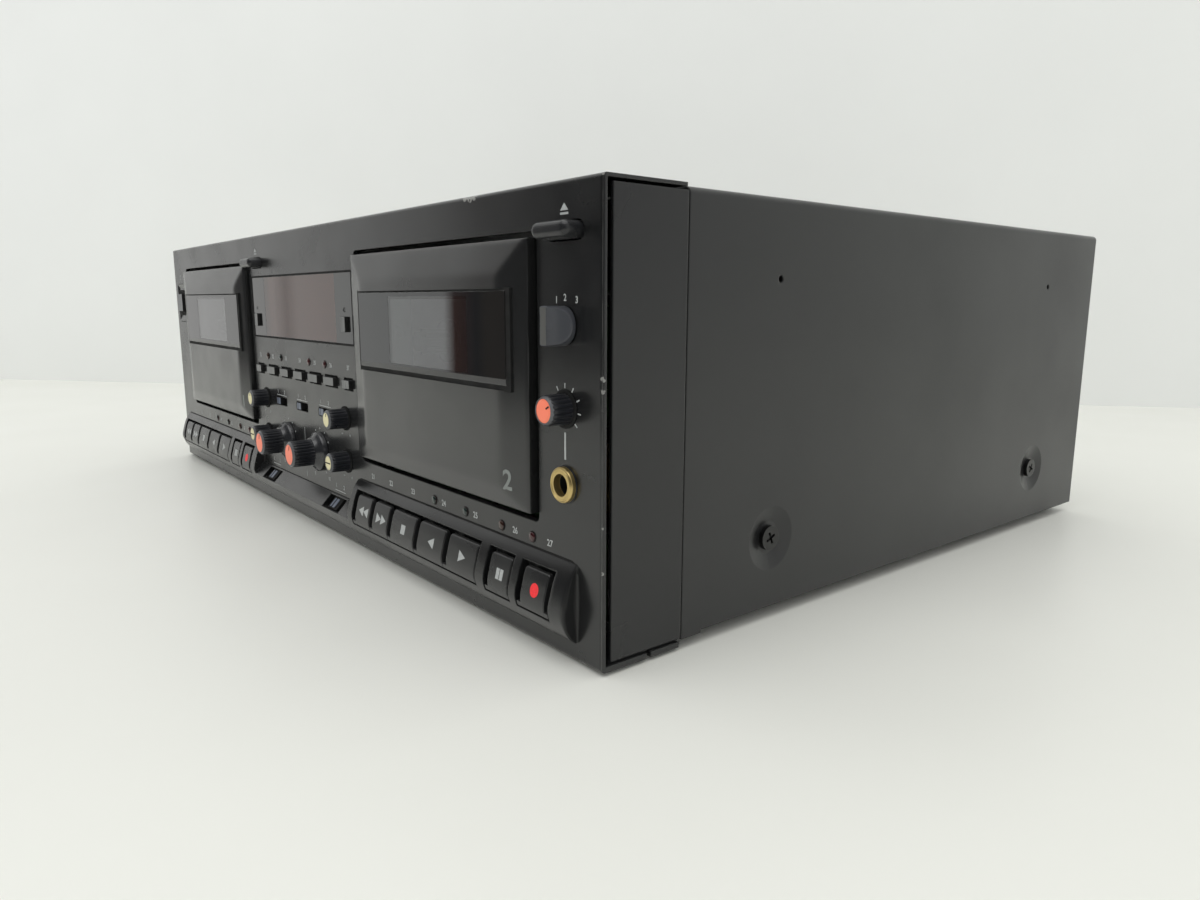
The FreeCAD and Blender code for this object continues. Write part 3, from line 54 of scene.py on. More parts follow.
PANEL_LIFT = 1.2         # panel's lower edge above the surface
PRINT_T = 0.03           # how far print stands off what it is printed on
NUMERAL_BOLD = 0.02      # how much a digit's strokes are thickened, as a share of its size
CORNER_STEPS = 5         # steps of a rounded outline's corner
EASE_LINES = 5           # lines over a round edge
RIB_SHARPNESS = 4        # power of the raised cosine between ribs
CHASSIS = "chassis"

Triple = tuple[float, float, float]
Colour = Triple
Profile = Sequence[tuple[float, ...]]    # radius, proud height and, for ribs, the rib share
Grid = np.ndarray
Socket = bpy.types.NodeSocket


# ---- surfaces ------------------------------------------------------------------------
@dataclass
class Surface:
    """Points in panel millimetres, quads as rows of point numbers, and flat faces of any count."""

    points: Grid
    quads: Grid
    flats: list[list[int]] = field(default_factory=list)


def numbered_quads(rows: int, columns: int, wrap: bool) -> Grid:
    """Number the quads of a grid of points.

    Args:
        rows: Rows of points.
        columns: Points in a row.
        wrap: True if each row is a closed ring.

    Returns:
        One row of four point numbers for each quad.
    """
    index = np.arange(rows * columns).reshape(rows, columns)
    if wrap:
        index = np.hstack([index, index[:, :1]])
    corners = [index[:-1, :-1], index[:-1, 1:], index[1:, 1:], index[1:, :-1]]
    return np.stack(corners, axis=-1).reshape(-1, 4)


def open_sheet(points: Grid) -> Surface:
    """Sheet over a grid of points, rows by columns by three."""
    return Surface(points.reshape(-1, 3), numbered_quads(*points.shape[:2], False))


def closed_stack(rings: Grid) -> Surface:
    """Closed form from a stack of rings, with a flat face at each end.

    Args:
        rings: Rings by points by three.

    Returns:
        The closed surface.
    """
    rows, columns = rings.shape[:2]
    last = (rows - 1) * columns
    ends = [list(range(columns)), list(range(last, last + columns))]
    return Surface(rings.reshape(-1, 3), numbered_quads(rows, columns, True), ends)


def joined(surfaces: Iterable[Surface]) -> Surface:
    """One surface with all the points and faces of several.

    Args:
        surfaces: Surfaces to join.

    Returns:
        The joined surface.
    """
    points, quads, flats, start = [], [], [], 0
    for surface in surfaces:
        points.append(surface.points)
        quads.append(surface.quads + start)
        flats += [[number + start for number in face] for face in surface.flats]
        start += len(surface.points)
    return Surface(np.vstack(points), np.vstack(quads), flats)


def quad_normals(surface: Surface) -> Grid:
    """Normal of each quad: the cross product of its diagonals."""
    corner = surface.points[surface.quads]
    return np.cross(corner[:, 2] - corner[:, 0], corner[:, 3] - corner[:, 1])


def facing_front(surface: Surface) -> Surface:
    """Turn every quad of a flat mark that looks back to face forward.

    Args:
        surface: Flat mark, which is changed.

    Returns:
        The same surface.
    """
    back = quad_normals(surface)[:, 1] > 0
    surface.quads[back] = surface.quads[back][:, ::-1]
    return surface


def eased_lines(low: float, high: float, ease: float, middle: int) -> Grid:
    """Positions from low to high, bunched as a quarter circle needs within ease of each end.

    Args:
        low: First position.
        high: Last position.
        ease: Length of the bunched stretch at each end.
        middle: Lines over the stretch between, with its two ends.

    Returns:
        Positions in rising order.
    """
    start = low + ease * (1 - np.cos(np.linspace(0, math.pi / 2, EASE_LINES)))
    inner = np.linspace(low + ease, high - ease, middle)[1:-1]
    return np.concatenate([start, inner, (low + high - start)[::-1]])


def rounded_ring(x: float, z: float, width: float, height: float, radius: float) -> Grid:
    """Outline of a rectangle with round corners.

    Each corner is a quarter circle about a centre one radius in from both sides.

    Args:
        x: Middle of the outline.
        z: Middle of the outline.
        width: Size along x.
        height: Size along z.
        radius: Corner radius.

    Returns:
        Points by two, x and z, in order round the outline.
    """
    steps = CORNER_STEPS
    radius = max(min(radius, width / 2, height / 2), 0.005)
    quarter = np.linspace(0, math.pi / 2, steps + 1)
    turn = np.concatenate([quarter + k * math.pi / 2 for k in range(4)])
    side_x = np.repeat([1, -1, -1, 1], steps + 1) * (width / 2 - radius)
    side_z = np.repeat([1, 1, -1, -1], steps + 1) * (height / 2 - radius)
    return np.stack([x + side_x + radius * np.cos(turn), z + side_z + radius * np.sin(turn)], axis=1)


# ---- faces that pieces and print follow ----------------------------------------------
@dataclass(frozen=True)
class FlatFace:
    """Plane some way before the panel."""

    proud: float = 0.0

    def depth(self, x: Grid, z: Grid) -> Grid:
        """y of the face: the same everywhere."""
        return np.full(np.broadcast(x, z).shape, -self.proud)


@dataclass(frozen=True)
class DishedFace:
    """Shallow dish: it sinks with the square of the nearness to its middle."""

    x: float
    z: float
    half_width: float
    proud: float
    sink: float

    def depth(self, x: Grid, z: Grid) -> Grid:
        """y of the face: proud at the sides, sunk along its upright middle line."""
        share = np.clip(np.abs(x - self.x) / self.half_width, 0, 1)
        return -self.proud + self.sink * (1 - share ** 2)


@dataclass(frozen=True)
class LedgeFace:
    """Bulging face of the ledge under the doors."""

    extra: float = 0.0
    heights: tuple[float, ...] = (5.6, 7.6, 11.2, 14.6, 18.0, 23.7, 28.5)
    prouds: tuple[float, ...] = (0.8, 3.0, 4.9, 5.6, 4.9, 3.1, 0.0)

    def depth(self, x: Grid, z: Grid) -> Grid:
        """y of the face: cubic pieces through the named heights, with matching slopes between.

        Args:
            x: Places along x.
            z: Heights.

        Returns:
            y at each place.
        """
        heights, prouds = np.array(self.heights), np.array(self.prouds)
        slopes = np.gradient(prouds, heights)
        z = np.clip(np.broadcast_arrays(x, z)[1], heights[0], heights[-1])
        part = np.clip(np.searchsorted(heights, z) - 1, 0, len(heights) - 2)
        span = heights[part + 1] - heights[part]
        t = (z - heights[part]) / span
        start = (1 + 2 * t) * (1 - t) ** 2 * prouds[part] + t * (1 - t) ** 2 * span * slopes[part]
        end = t ** 2 * (3 - 2 * t) * prouds[part + 1] + t ** 2 * (t - 1) * span * slopes[part + 1]
        return -(start + end + self.extra)


@dataclass(frozen=True)
class SlopingFace:
    """Straight slope of the ledge's middle, which falls as it comes forward."""

    sink: float = 0.0
    top_z: float = 17.7
    pitch: float = 5.6 / 5.9

    def depth(self, x: Grid, z: Grid) -> Grid:
        """y of the face: proud grows in proportion to the fall from the slope's top."""
        return np.broadcast_arrays(x, -(self.top_z - self.sink - z) * self.pitch)[1]


Face = FlatFace | DishedFace | LedgeFace | SlopingFace


def block_lines(half: float, corner: float, ease: float) -> Grid:
    """Lines across a block: bunched at its round front edge and fanned out over its corners.

    Args:
        half: Half of the block's size.
        corner: Radius of its corners.
        ease: Radius of its front edge.

    Returns:
        Positions from -half to half.
    """
    inset = ease * (1 - np.cos(np.linspace(0, math.pi / 2, EASE_LINES)))
    fan = corner * (1 - np.tan(np.linspace(0, math.pi / 4, EASE_LINES)))
    ends = np.unique(np.round(np.concatenate([inset, fan]), 3))
    ends = ends[np.concatenate([[True], np.diff(ends) > 0.02])]
    middle = np.linspace(ends[-1] - half, half - ends[-1], 9)
    return np.unique(np.round(np.concatenate([ends - half, middle, half - ends]), 4))


def cushion_block(x: float, z: float, width: float, height: float, corner: float, ease: float,
                  face: Face, back: float) -> Surface:
    """Button-like block: upright sides, a round front edge and a face of any shape.

    A square-cornered grid has the part of each position beyond the corner centres scaled by its
    larger share over its length, which bends the grid's outline into quarter circles.  Within the
    ease radius of the outline the face falls by a quarter circle, and from the outline the sides
    go straight back.

    Args:
        x: Middle of the block.
        z: Middle of the block.
        width: Size along x.
        height: Size along z.
        corner: Radius of its four corners.
        ease: Radius of its front edge.
        face: Shape of its front.
        back: y of its flat back.

    Returns:
        The closed block.
    """
    half_x, half_z = width / 2, height / 2
    corner = max(min(corner, half_x, half_z), 0.02)
    flat_x, flat_z = np.meshgrid(block_lines(half_x, corner, ease), block_lines(half_z, corner, ease))
    over_x = np.clip(np.abs(flat_x) - (half_x - corner), 0, None)
    over_z = np.clip(np.abs(flat_z) - (half_z - corner), 0, None)
    squeeze = np.maximum(over_x, over_z) / np.maximum(np.hypot(over_x, over_z), 1e-9)
    grid_x = x + np.sign(flat_x) * (np.minimum(np.abs(flat_x), half_x - corner) + over_x * squeeze)
    grid_z = z + np.sign(flat_z) * (np.minimum(np.abs(flat_z), half_z - corner) + over_z * squeeze)
    gap = np.clip(np.minimum(half_x - np.abs(flat_x), half_z - np.abs(flat_z)), 0, ease)
    depth = face.depth(grid_x, grid_z) + ease - np.sqrt(np.clip(ease ** 2 - (ease - gap) ** 2, 0, None))
    points = np.stack([grid_x, depth, grid_z], axis=-1).reshape(-1, 3)
    rows, columns = grid_x.shape
    index = np.arange(rows * columns).reshape(rows, columns)
    rim = np.concatenate([index[0, :-1], index[:-1, -1], index[-1, :0:-1], index[:0:-1, 0]])
    foot = points[rim]
    foot[:, 1] = back
    start, count = len(points), len(rim)
    here, after = np.arange(count), np.roll(np.arange(count), -1)
    walls = np.stack([rim, rim[after], start + after, start + here], axis=1)
    quads = np.vstack([numbered_quads(rows, columns, False), walls])
    return Surface(np.vstack([points, foot]), quads, [list(range(start, start + count))])


def nested_outlines(x: float, z: float, width: float, height: float, outlines: Sequence[Triple]) -> Surface:
    """Band of quads from one rounded outline to the next.

    Args:
        x: Middle of the outlines.
        z: Middle of the outlines.
        width: Size along x with no inset.
        height: Size along z with no inset.
        outlines: Inset, corner radius and y of each outline.

    Returns:
        The bands, joined along the outlines.
    """
    rings = []
    for inset, corner, y in outlines:
        outline = rounded_ring(x, z, width - 2 * inset, height - 2 * inset, corner)
        rings.append(np.insert(outline, 1, y, axis=1))
    return Surface(np.vstack(rings), numbered_quads(len(rings), len(rings[0]), True))


def turned_form(x: float, z: float, profile: Profile, columns: int, ribs: int = 0,
                rib_depth: float = 0.0) -> Surface:
    """Form turned about an axis that runs back from the panel.

    A point of the profile goes round a circle.  Where its rib share is given and above zero the
    radius dips, ribs times round, by the rib depth times the fourth power of a raised cosine.

    Args:
        x: Axis.
        z: Axis.
        profile: Radius, proud height and rib share, from the back to the front.
        columns: Points round the circle.
        ribs: Grooves round the form.
        rib_depth: Depth of each groove.

    Returns:
        The closed form.
    """
    radius, proud, share = np.array([(*row, 0.0)[:3] for row in profile]).T[:, :, None]
    turn = np.linspace(0, 2 * math.pi, columns, endpoint=False)[None, :]
    reach = radius - share * rib_depth * (0.5 + 0.5 * np.cos(ribs * turn)) ** RIB_SHARPNESS
    rings = np.stack([x + reach * np.sin(turn), np.broadcast_to(-proud, reach.shape),
                      z + reach * np.cos(turn)], axis=-1)
    return closed_stack(rings)


def ring_form(x: float, z: float, profile: Profile, columns: int) -> Surface:
    """Closed ring: a closed profile of radius and proud height carried round the axis.

    Args:
        x: Place of the axis.
        z: Place of the axis.
        profile: Radius and proud height of each point.
        columns: Points round the axis.

    Returns:
        The closed ring.
    """
    rings = turned_form(x, z, [*profile, profile[0]], columns)
    rings.flats = []
    return rings


# ---- print ---------------------------------------------------------------------------
def printed_patch(across: Grid, up: Grid, face: Face) -> Surface:
    """Print over a grid of x and z positions, just off a face."""
    depth = face.depth(across, up) - PRINT_T
    return facing_front(open_sheet(np.stack([across, depth, up], axis=-1)))


def bar(x: float, z: float, width: float, height: float, face: Face = FlatFace()) -> Surface:
    """Printed bar about a middle.

    Args:
        x: Middle of the bar.
        z: Middle of the bar.
        width: Size along x.
        height: Size along z.
        face: Face that it is printed on.

    Returns:
        The flat mark.
    """
    across, up = np.meshgrid(np.linspace(x - width / 2, x + width / 2, 3),
                             np.linspace(z - height / 2, z + height / 2, 5))
    return printed_patch(across, up, face)


def disc(x: float, z: float, radius: float, face: Face = FlatFace(), inner: float = 0.0) -> Surface:
    """Printed disc, or a ring if it has an inner radius."""
    turn, reach = np.meshgrid(np.linspace(0, 2 * math.pi, 25), np.linspace(max(inner, 0.02), radius, 4))
    return printed_patch(x + reach * np.sin(turn), z + reach * np.cos(turn), face)


def pointer(x: float, z: float, width: float, height: float, way: int, face: Face = FlatFace()) -> Surface:
    """Printed triangle that points right for a way of 1 and left for -1.

    Its height shrinks in proportion to the distance gone towards its point.

    Args:
        x: Middle of the triangle.
        z: Middle of the triangle.
        width: Size along x.
        height: Size along z at its foot.
        way: 1 for right, -1 for left.
        face: Face that it is printed on.

    Returns:
        The flat mark.
    """
    share, up = np.meshgrid(np.linspace(0, 1, 6), np.linspace(-0.5, 0.5, 7))
    across = x + way * width * (share - 0.5)
    return printed_patch(across, z + height * up * (1 - 0.98 * share), face)


def tick(x: float, z: float, turn_deg: float, inner: float, outer: float, width: float) -> Surface:
    """Printed radial tick at an angle from straight up, clockwise.

    Args:
        x: Middle of the dial.
        z: Middle of the dial.
        turn_deg: Angle of the tick.
        inner: Radius where it starts.
        outer: Radius where it ends.
        width: Its width.

    Returns:
        The flat mark.
    """
    turn = math.radians(turn_deg)
    reach, side = np.meshgrid(np.array([inner, outer]), np.array([-width / 2, width / 2]))
    across = x + reach * math.sin(turn) + side * math.cos(turn)
    return printed_patch(across, z + reach * math.cos(turn) - side * math.sin(turn), FlatFace())


def numeral(text: str, x: float, z: float, height: float, face: Face = FlatFace()) -> Surface:
    """Plain printed number.

    Args:
        text: Digits.
        x: Middle of the number.
        z: Middle of the number.
        height: Height of a digit.
        face: What it is printed on.

    Returns:
        Its flat faces, just off the face.
    """
    curve = bpy.data.curves.new("numeral", "FONT")
    curve.body = text
    curve.offset = NUMERAL_BOLD
    holder = bpy.data.objects.new("numeral", curve)
    mesh = bpy.data.meshes.new_from_object(holder)
    flat = np.empty(3 * len(mesh.vertices))
    mesh.vertices.foreach_get("co", flat)
    flat = flat.reshape(-1, 3)[:, :2]
    low, high = flat.min(axis=0), flat.max(axis=0)
    flat = (flat - (low + high) / 2) * height / (high[1] - low[1])
    across, up = x + flat[:, 0], z + flat[:, 1]
    points = np.stack([across, face.depth(across, up) - PRINT_T, up], axis=1)
    faces = [list(polygon.vertices) for polygon in mesh.polygons]
    bpy.data.objects.remove(holder)
    bpy.data.curves.remove(curve)
    bpy.data.meshes.remove(mesh)
    return Surface(points, np.empty((0, 4), int), faces)


class Sign(Enum):
    """Standard transport signs on the keys."""

    REWIND = "rewind"
    FORWARD = "forward"
    STOP = "stop"
    REVERSE = "reverse"
    PLAY = "play"
    PAUSE = "pause"
    RECORD = "record"

    def marks(self, x: float, z: float, size: float, face: Face) -> Surface:
        """Print of the sign.

        Args:
            x: Middle of the sign.
            z: Middle of the sign.
            size: Height of the sign.
            face: What it is printed on.

        Returns:
            The sign's surface.
        """
        if self is Sign.STOP:
            return bar(x, z, 0.97 * size, size, face)
        if self is Sign.RECORD:
            return disc(x, z, 0.62 * size, face)
        if self is Sign.PAUSE:
            return joined([bar(x + side * 0.31 * size, z, 0.52 * size, size, face) for side in (-1, 1)])
        way = -1 if self in (Sign.REWIND, Sign.REVERSE) else 1
        if self in (Sign.REVERSE, Sign.PLAY):
            return pointer(x, z, 1.24 * size, 1.12 * size, way, face)
        return joined([pointer(x + side * 0.62 * size, z, 1.22 * size, 1.15 * size, way, face)
                       for side in (-1, 1)])


# ---- finishes ------------------------------------------------------------------------
DUST_TINT = (0.5, 0.49, 0.46)
Value = float | Colour | Socket


class NodeBench:
    """A node tree with helpers that return output sockets."""

    def __init__(self, tree: bpy.types.NodeTree, place: str) -> None:
        """Take up a tree, whose textures lie in the named coordinates."""
        self.tree = tree
        self.place = self.add("ShaderNodeTexCoord").outputs[place]

    def add(self, kind: str, **settings: object) -> bpy.types.Node:
        """Add a node of a kind with its settings.

        Args:
            kind: Type of the node.
            settings: Values of its properties, by name.

        Returns:
            The new node.
        """
        node = self.tree.nodes.new(kind)
        for key, value in settings.items():
            setattr(node, key, value)
        return node

    def feed(self, socket: Socket, value: Value) -> None:
        """Link a socket to another, or set its plain value.

        Args:
            socket: Input to feed.
            value: Another socket, or a plain value.
        """
        if isinstance(value, Socket):
            self.tree.links.new(value, socket)
        elif isinstance(value, tuple):
            socket.default_value = (*value, 1.0)[: len(socket.default_value)]
        else:
            socket.default_value = value

    def scaled(self, size_mm: float, stretch: Triple = (1.0, 1.0, 1.0)) -> Socket:
        """Place in units of a size, drawn out by a stretch along the axes.

        Args:
            size_mm: Size of one unit.
            stretch: How far a pattern is drawn out along each axis.

        Returns:
            The scaled place.
        """
        node = self.add("ShaderNodeMapping")
        node.inputs["Scale"].default_value = [1 / (size_mm * MM * part) for part in stretch]
        self.feed(node.inputs["Vector"], self.place)
        return node.outputs["Vector"]

    def noise(self, size_mm: float, detail: float = 2.0, stretch: Triple = (1.0, 1.0, 1.0)) -> Socket:
        """Noise whose blotches are about size_mm across, drawn out by a stretch along the axes.

        Args:
            size_mm: Size of a blotch.
            detail: Octaves of finer noise.
            stretch: How far blotches are drawn out along each axis.

        Returns:
            The noise, from 0 to 1.
        """
        node = self.add("ShaderNodeTexNoise")
        node.inputs["Scale"].default_value = 1.0
        node.inputs["Detail"].default_value = detail
        self.feed(node.inputs["Vector"], self.scaled(size_mm, stretch))
        return node.outputs["Fac"]

    def ranged(self, source: Socket, low: float, high: float, to_low: float = 0.0,
               to_high: float = 1.0) -> Socket:
        """Source from low to high as to_low to to_high, held at the ends.

        Args:
            source: Value to map.
            low: Value that gives to_low.
            high: Value that gives to_high.
            to_low: Result at low.
            to_high: Result at high.

        Returns:
            The mapped value.
        """
        node = self.add("ShaderNodeMapRange")
        for name, value in (("From Min", low), ("From Max", high), ("To Min", to_low), ("To Max", to_high)):
            node.inputs[name].default_value = value
        self.feed(node.inputs["Value"], source)
        return node.outputs["Result"]

    def worked(self, operation: str, *values: Value) -> Socket:
        """Result of a Math node's operation on one or more values.

        Args:
            operation: Name of the operation.
            values: Its inputs in order.

        Returns:
            The result.
        """
        node = self.add("ShaderNodeMath", operation=operation)
        for index, value in enumerate(values):
            self.feed(node.inputs[index], value)
        return node.outputs[0]

    def stepped(self, share: Socket, stops: Sequence[tuple[float, Colour]]) -> Socket:
        """Colour read off a ramp of stops at a share from 0 to 1.

        Args:
            share: Where the ramp is read.
            stops: Place and colour of each stop.

        Returns:
            The colour.
        """
        node = self.add("ShaderNodeValToRGB")
        elements = node.color_ramp.elements
        for index, (position, colour) in enumerate(stops):
            element = elements[index] if index < len(elements) else elements.new(position)
            element.position = position
            element.color = (*colour, 1.0)
        self.feed(node.inputs["Fac"], share)
        return node.outputs["Color"]

    def blended(self, share: Value, first: Value, second: Value) -> Socket:
        """Colour that goes from the first to the second as share goes from 0 to 1.

        Args:
            share: Share of the second colour.
            first: Colour at 0.
            second: Colour at 1.

        Returns:
            The blended colour.
        """
        node = self.add("ShaderNodeMix", data_type="RGBA")
        for index, value in ((0, share), (6, first), (7, second)):
            self.feed(node.inputs[index], value)
        return node.outputs[2]

    def product(self, first: Value, second: Value) -> Socket:
        """First times second."""
        return self.worked("MULTIPLY", first, second)

    def upward(self) -> Socket:
        """How far the surface looks up, from 0 to 1."""
        normal = self.add("ShaderNodeNewGeometry").outputs["Normal"]
        return self.ranged(self.axes(normal)[2], 0.6, 1.0)

    def near(self, spot: Triple, radius_mm: float) -> Socket:
        """1 at a spot in the shared frame, falling to 0 at a radius.

        Args:
            spot: Place in metres.
            radius_mm: Where it reaches 0.

        Returns:
            How near the surface is to the spot.
        """
        node = self.add("ShaderNodeVectorMath", operation="DISTANCE")
        self.feed(node.inputs[0], self.place)
        node.inputs[1].default_value = spot
        return self.ranged(node.outputs["Value"], 0.0, radius_mm * MM, 1.0, 0.0)

    def axes(self, vector: Socket | None = None) -> tuple[Socket, ...]:
        """The three parts of a vector, or of the place.

        Args:
            vector: Vector to take apart; the place if there is none.

        Returns:
            Its x, y and z.
        """
        split = self.add("ShaderNodeSeparateXYZ")
        self.feed(split.inputs[0], vector or self.place)
        return tuple(split.outputs)

    def eased(self, radius_mm: float, softer: tuple[Triple, float, float] | None = None) -> Socket:
        """Normal with its edges rounded off.

        Args:
            radius_mm: Radius of the rounding.
            softer: A spot, the reach round it in millimetres, and the radius to add at the spot.

        Returns:
            The rounded normal.
        """
        node = self.add("ShaderNodeBevel", samples=4)
        node.inputs["Radius"].default_value = radius_mm * MM
        if softer:
            spot, reach, added = softer
            extra = self.product(self.near(spot, reach), added * MM)
            self.feed(node.inputs["Radius"], self.worked("ADD", extra, radius_mm * MM))
        return node.outputs["Normal"]

    def bumped(self, height: Socket, depth_mm: float, strength: float,
               normal: Socket | None = None) -> Socket:
        """Normal with a relief, depth_mm deep, on top of another normal.

        Args:
            height: Height of the relief, from 0 to 1.
            depth_mm: Its full depth.
            strength: Share of it that shows.
            normal: Normal to build on; the surface's own if there is none.

        Returns:
            The new normal.
        """
        node = self.add("ShaderNodeBump")
        node.inputs["Strength"].default_value = strength
        node.inputs["Distance"].default_value = depth_mm * MM
        self.feed(node.inputs["Height"], height)
        if normal is not None:
            self.feed(node.inputs["Normal"], normal)
        return node.outputs["Normal"]


class Bench(NodeBench):
    """The node tree of one finish."""

    def __init__(self, name: str) -> None:
        """Start a material.

        Args:
            name: Name of the material.
        """
        self.material = bpy.data.materials.new(name)
        self.material.use_nodes = True
        super().__init__(self.material.node_tree, "Object")
        self.shader = self.tree.nodes["Principled BSDF"]

    def shade(self, **values: Value) -> None:
        """Set the shader's sockets by name, with an underscore for a space."""
        for name, value in values.items():
            self.feed(self.shader.inputs[name.replace("_", " ")], value)

    def dusted(self, colour: Value, dust: float, size_mm: float, detail: float, low: float) -> Socket:
        """Colour with blotches of dust on what looks up.

        Args:
            colour: The clean colour.
            dust: Share of dust where it lies thickest.
            size_mm: Size of the blotches.
            detail: Detail of the blotches.
            low: Noise level below which dust is thinnest.

        Returns:
            The dusty colour.
        """
        blotches = self.ranged(self.noise(size_mm, detail), low, 0.8, 0.2, 1.0)
        return self.blended(self.product(self.product(self.upward(), blotches), dust), colour, DUST_TINT)


@dataclass(frozen=True)
class Finish:
    """A surface finish, whose material is made on first use."""

    name: str
    tint: Colour

    def material(self) -> bpy.types.Material:
        """Return the finish's material."""
        found = bpy.data.materials.get(self.name)
        return found if found is not None else self.mixed(Bench(self.name)).material

    def toned(self, bench: Bench, spread: float, size_mm: float) -> Socket:
        """Tint that drifts lighter and darker by a spread over blotches of a size.

        Args:
            bench: The material's bench.
            spread: Share by which the tint gets lighter and darker.
            size_mm: Size of a blotch.

        Returns:
            The drifting tint.
        """
        dark = tuple(part * (1 - spread) for part in self.tint)
        light = tuple(min(part * (1 + spread), 1.0) for part in self.tint)
        return bench.blended(bench.ranged(bench.noise(size_mm, 4.0), 0.3, 0.7), dark, light)

    def mixed(self, bench: Bench) -> Bench:
        """Wire the finish up on a bench and return the bench."""
        raise NotImplementedError


@dataclass(frozen=True)
class SatinPlastic(Finish):
    """Moulded plastic with a fine spark-eroded grain, soft edges and dust; the front moulding's finish adds
    chips.
    """

    gloss: float = 0.30
    grain_mm: float = 0.30
    grain_deep: float = 0.010
    edge_mm: float = 0.3
    dust: float = 0.05
    spread: float = 0.15
    ior: float = 1.5
    softer: tuple[Triple, float, float] | None = None

    def worn(self, bench: Bench, colour: Socket) -> Socket:
        """Colour with its wear; plain parts have none."""
        return colour

    def mixed(self, bench: Bench) -> Bench:
        """Grain in the relief; blotches in colour and gloss; dust on what looks up.

        Args:
            bench: The material's bench.

        Returns:
            The same bench.
        """
        toned = self.toned(bench, self.spread, 38.0)
        colour = self.worn(bench, bench.dusted(toned, self.dust, 2.2, 5.0, 0.35))
        rubbed = bench.ranged(bench.noise(24.0, 5.0), 0.3, 0.75, self.gloss - 0.05, self.gloss + 0.06)
        grain = bench.bumped(bench.noise(self.grain_mm, 3.0), self.grain_deep, 0.35,
                             bench.eased(self.edge_mm, self.softer))
        bench.shade(Base_Color=colour, Roughness=rubbed, Normal=grain, IOR=self.ior)
        return bench


@dataclass(frozen=True)
class FrontPlastic(SatinPlastic):
    """The front moulding's plastic, rubbed pale along its right and top edges and chipped."""

    chips: tuple[tuple[float, float, float, float], ...] = ()
    chip_tint: Colour = (0.20, 0.20, 0.19)
    line_tint: Colour = (0.075, 0.075, 0.073)
    edge_x: float = 217.5
    edge_z: float = 132.0
    line: float = 0.5

    def worn(self, bench: Bench, colour: Socket) -> Socket:
        """Thin broken lines on the front beside the edges, and chips that fade out round their spots.

        Args:
            bench: The material's bench.
            colour: Colour before the wear.

        Returns:
            Colour with the wear.
        """
        x, y, z = bench.axes()
        front = bench.ranged(y, (PANEL_FACE_Y + 0.15) * MM, (PANEL_FACE_Y + 0.4) * MM, 1.0, 0.0)
        right_x, top_z = self.edge_x * MM, (self.edge_z + PANEL_LIFT) * MM
        right = bench.ranged(x, right_x - (self.line + 0.15) * MM, right_x - self.line * MM)
        top = bench.ranged(z, top_z - self.line * MM, top_z - (self.line - 0.15) * MM, 0.0, 0.45)
        broken = bench.ranged(bench.noise(5.0, 6.0), 0.36, 0.58, 0.25, 1.0)
        line = bench.product(bench.product(bench.worked("MAXIMUM", right, top), front), broken)
        colour = bench.blended(line, colour, self.line_tint)
        rough = bench.ranged(bench.noise(0.8, 4.0), 0.35, 0.6)
        mask = 0.0
        for spot_x, spot_y, spot_z, radius in self.chips:
            spot = (spot_x * MM, (spot_y + PANEL_FACE_Y) * MM, (spot_z + PANEL_LIFT) * MM)
            mask = bench.worked("MAXIMUM", mask, bench.near(spot, radius))
        mask = bench.ranged(bench.product(mask, rough), 0.10, 0.16)
        return bench.blended(mask, colour, self.chip_tint)


@dataclass(frozen=True)
class PaintedSheet(Finish):
    """Sheet steel with baked satin paint: a faint orange peel, rubbed patches and dust."""

    gloss: float = 0.33
    peel_mm: float = 1.1
    peel_deep: float = 0.012
    edge_mm: float = 0.8
    dust: float = 0.10
    ior: float = 1.55

    def mixed(self, bench: Bench) -> Bench:
        """Peel in the relief; rubbing in the gloss; dust on what looks up.

        Args:
            bench: The material's bench.

        Returns:
            The same bench.
        """
        colour = bench.dusted(self.toned(bench, 0.10, 60.0), self.dust, 3.0, 6.0, 0.3)
        fine = bench.bumped(bench.noise(0.25, 2.0), 0.004, 0.3, bench.eased(self.edge_mm))
        relief = bench.bumped(bench.noise(self.peel_mm, 2.0), self.peel_deep, 0.35, fine)
        rubbed = bench.ranged(bench.noise(45.0, 6.0), 0.3, 0.75, self.gloss - 0.05, self.gloss + 0.07)
        bench.shade(Base_Color=colour, Roughness=rubbed, Normal=relief, IOR=self.ior)
        return bench


@dataclass(frozen=True)
class BareMetal(Finish):
    """Plated, machined or rolled metal with fine streaks along one axis."""

    gloss: float = 0.34
    streak: Colour = (30.0, 0.4, 0.4)
    edge_mm: float = 0.3

    def mixed(self, bench: Bench) -> Bench:
        """Streaks in relief and gloss; slow blotches in colour.

        Args:
            bench: The material's bench.

        Returns:
            The same bench.
        """
        streaks = bench.noise(1.0, 3.0, self.streak)
        rubbed = bench.ranged(streaks, 0.25, 0.75, self.gloss - 0.08, self.gloss + 0.10)
        relief = bench.bumped(streaks, 0.006, 0.25, bench.eased(self.edge_mm))
        bench.shade(Base_Color=self.toned(bench, 0.14, 14.0), Roughness=rubbed, Normal=relief, Metallic=1.0)
        return bench


@dataclass(frozen=True)
class PolishedPane(Finish):
    """Tinted acrylic pane that shows faintly what is behind it, with smears and specks."""

    clear: float = 0.9
    gloss: float = 0.0
    ior: float = 1.6

    def mixed(self, bench: Bench) -> Bench:
        """Smears in the gloss and a very slow wave in the relief.

        Args:
            bench: The material's bench.

        Returns:
            The same bench.
        """
        smears = bench.noise(9.0, 6.0, (1.0, 1.0, 2.5))
        smears = bench.ranged(smears, 0.5, 0.85, self.gloss, self.gloss + 0.06)
        wave = bench.bumped(bench.noise(30.0, 1.0), 0.008, 0.2)
        bench.shade(Base_Color=self.toned(bench, 0.06, 20.0), Roughness=smears, Normal=wave, IOR=self.ior,
                    Transmission_Weight=self.clear)
        return bench


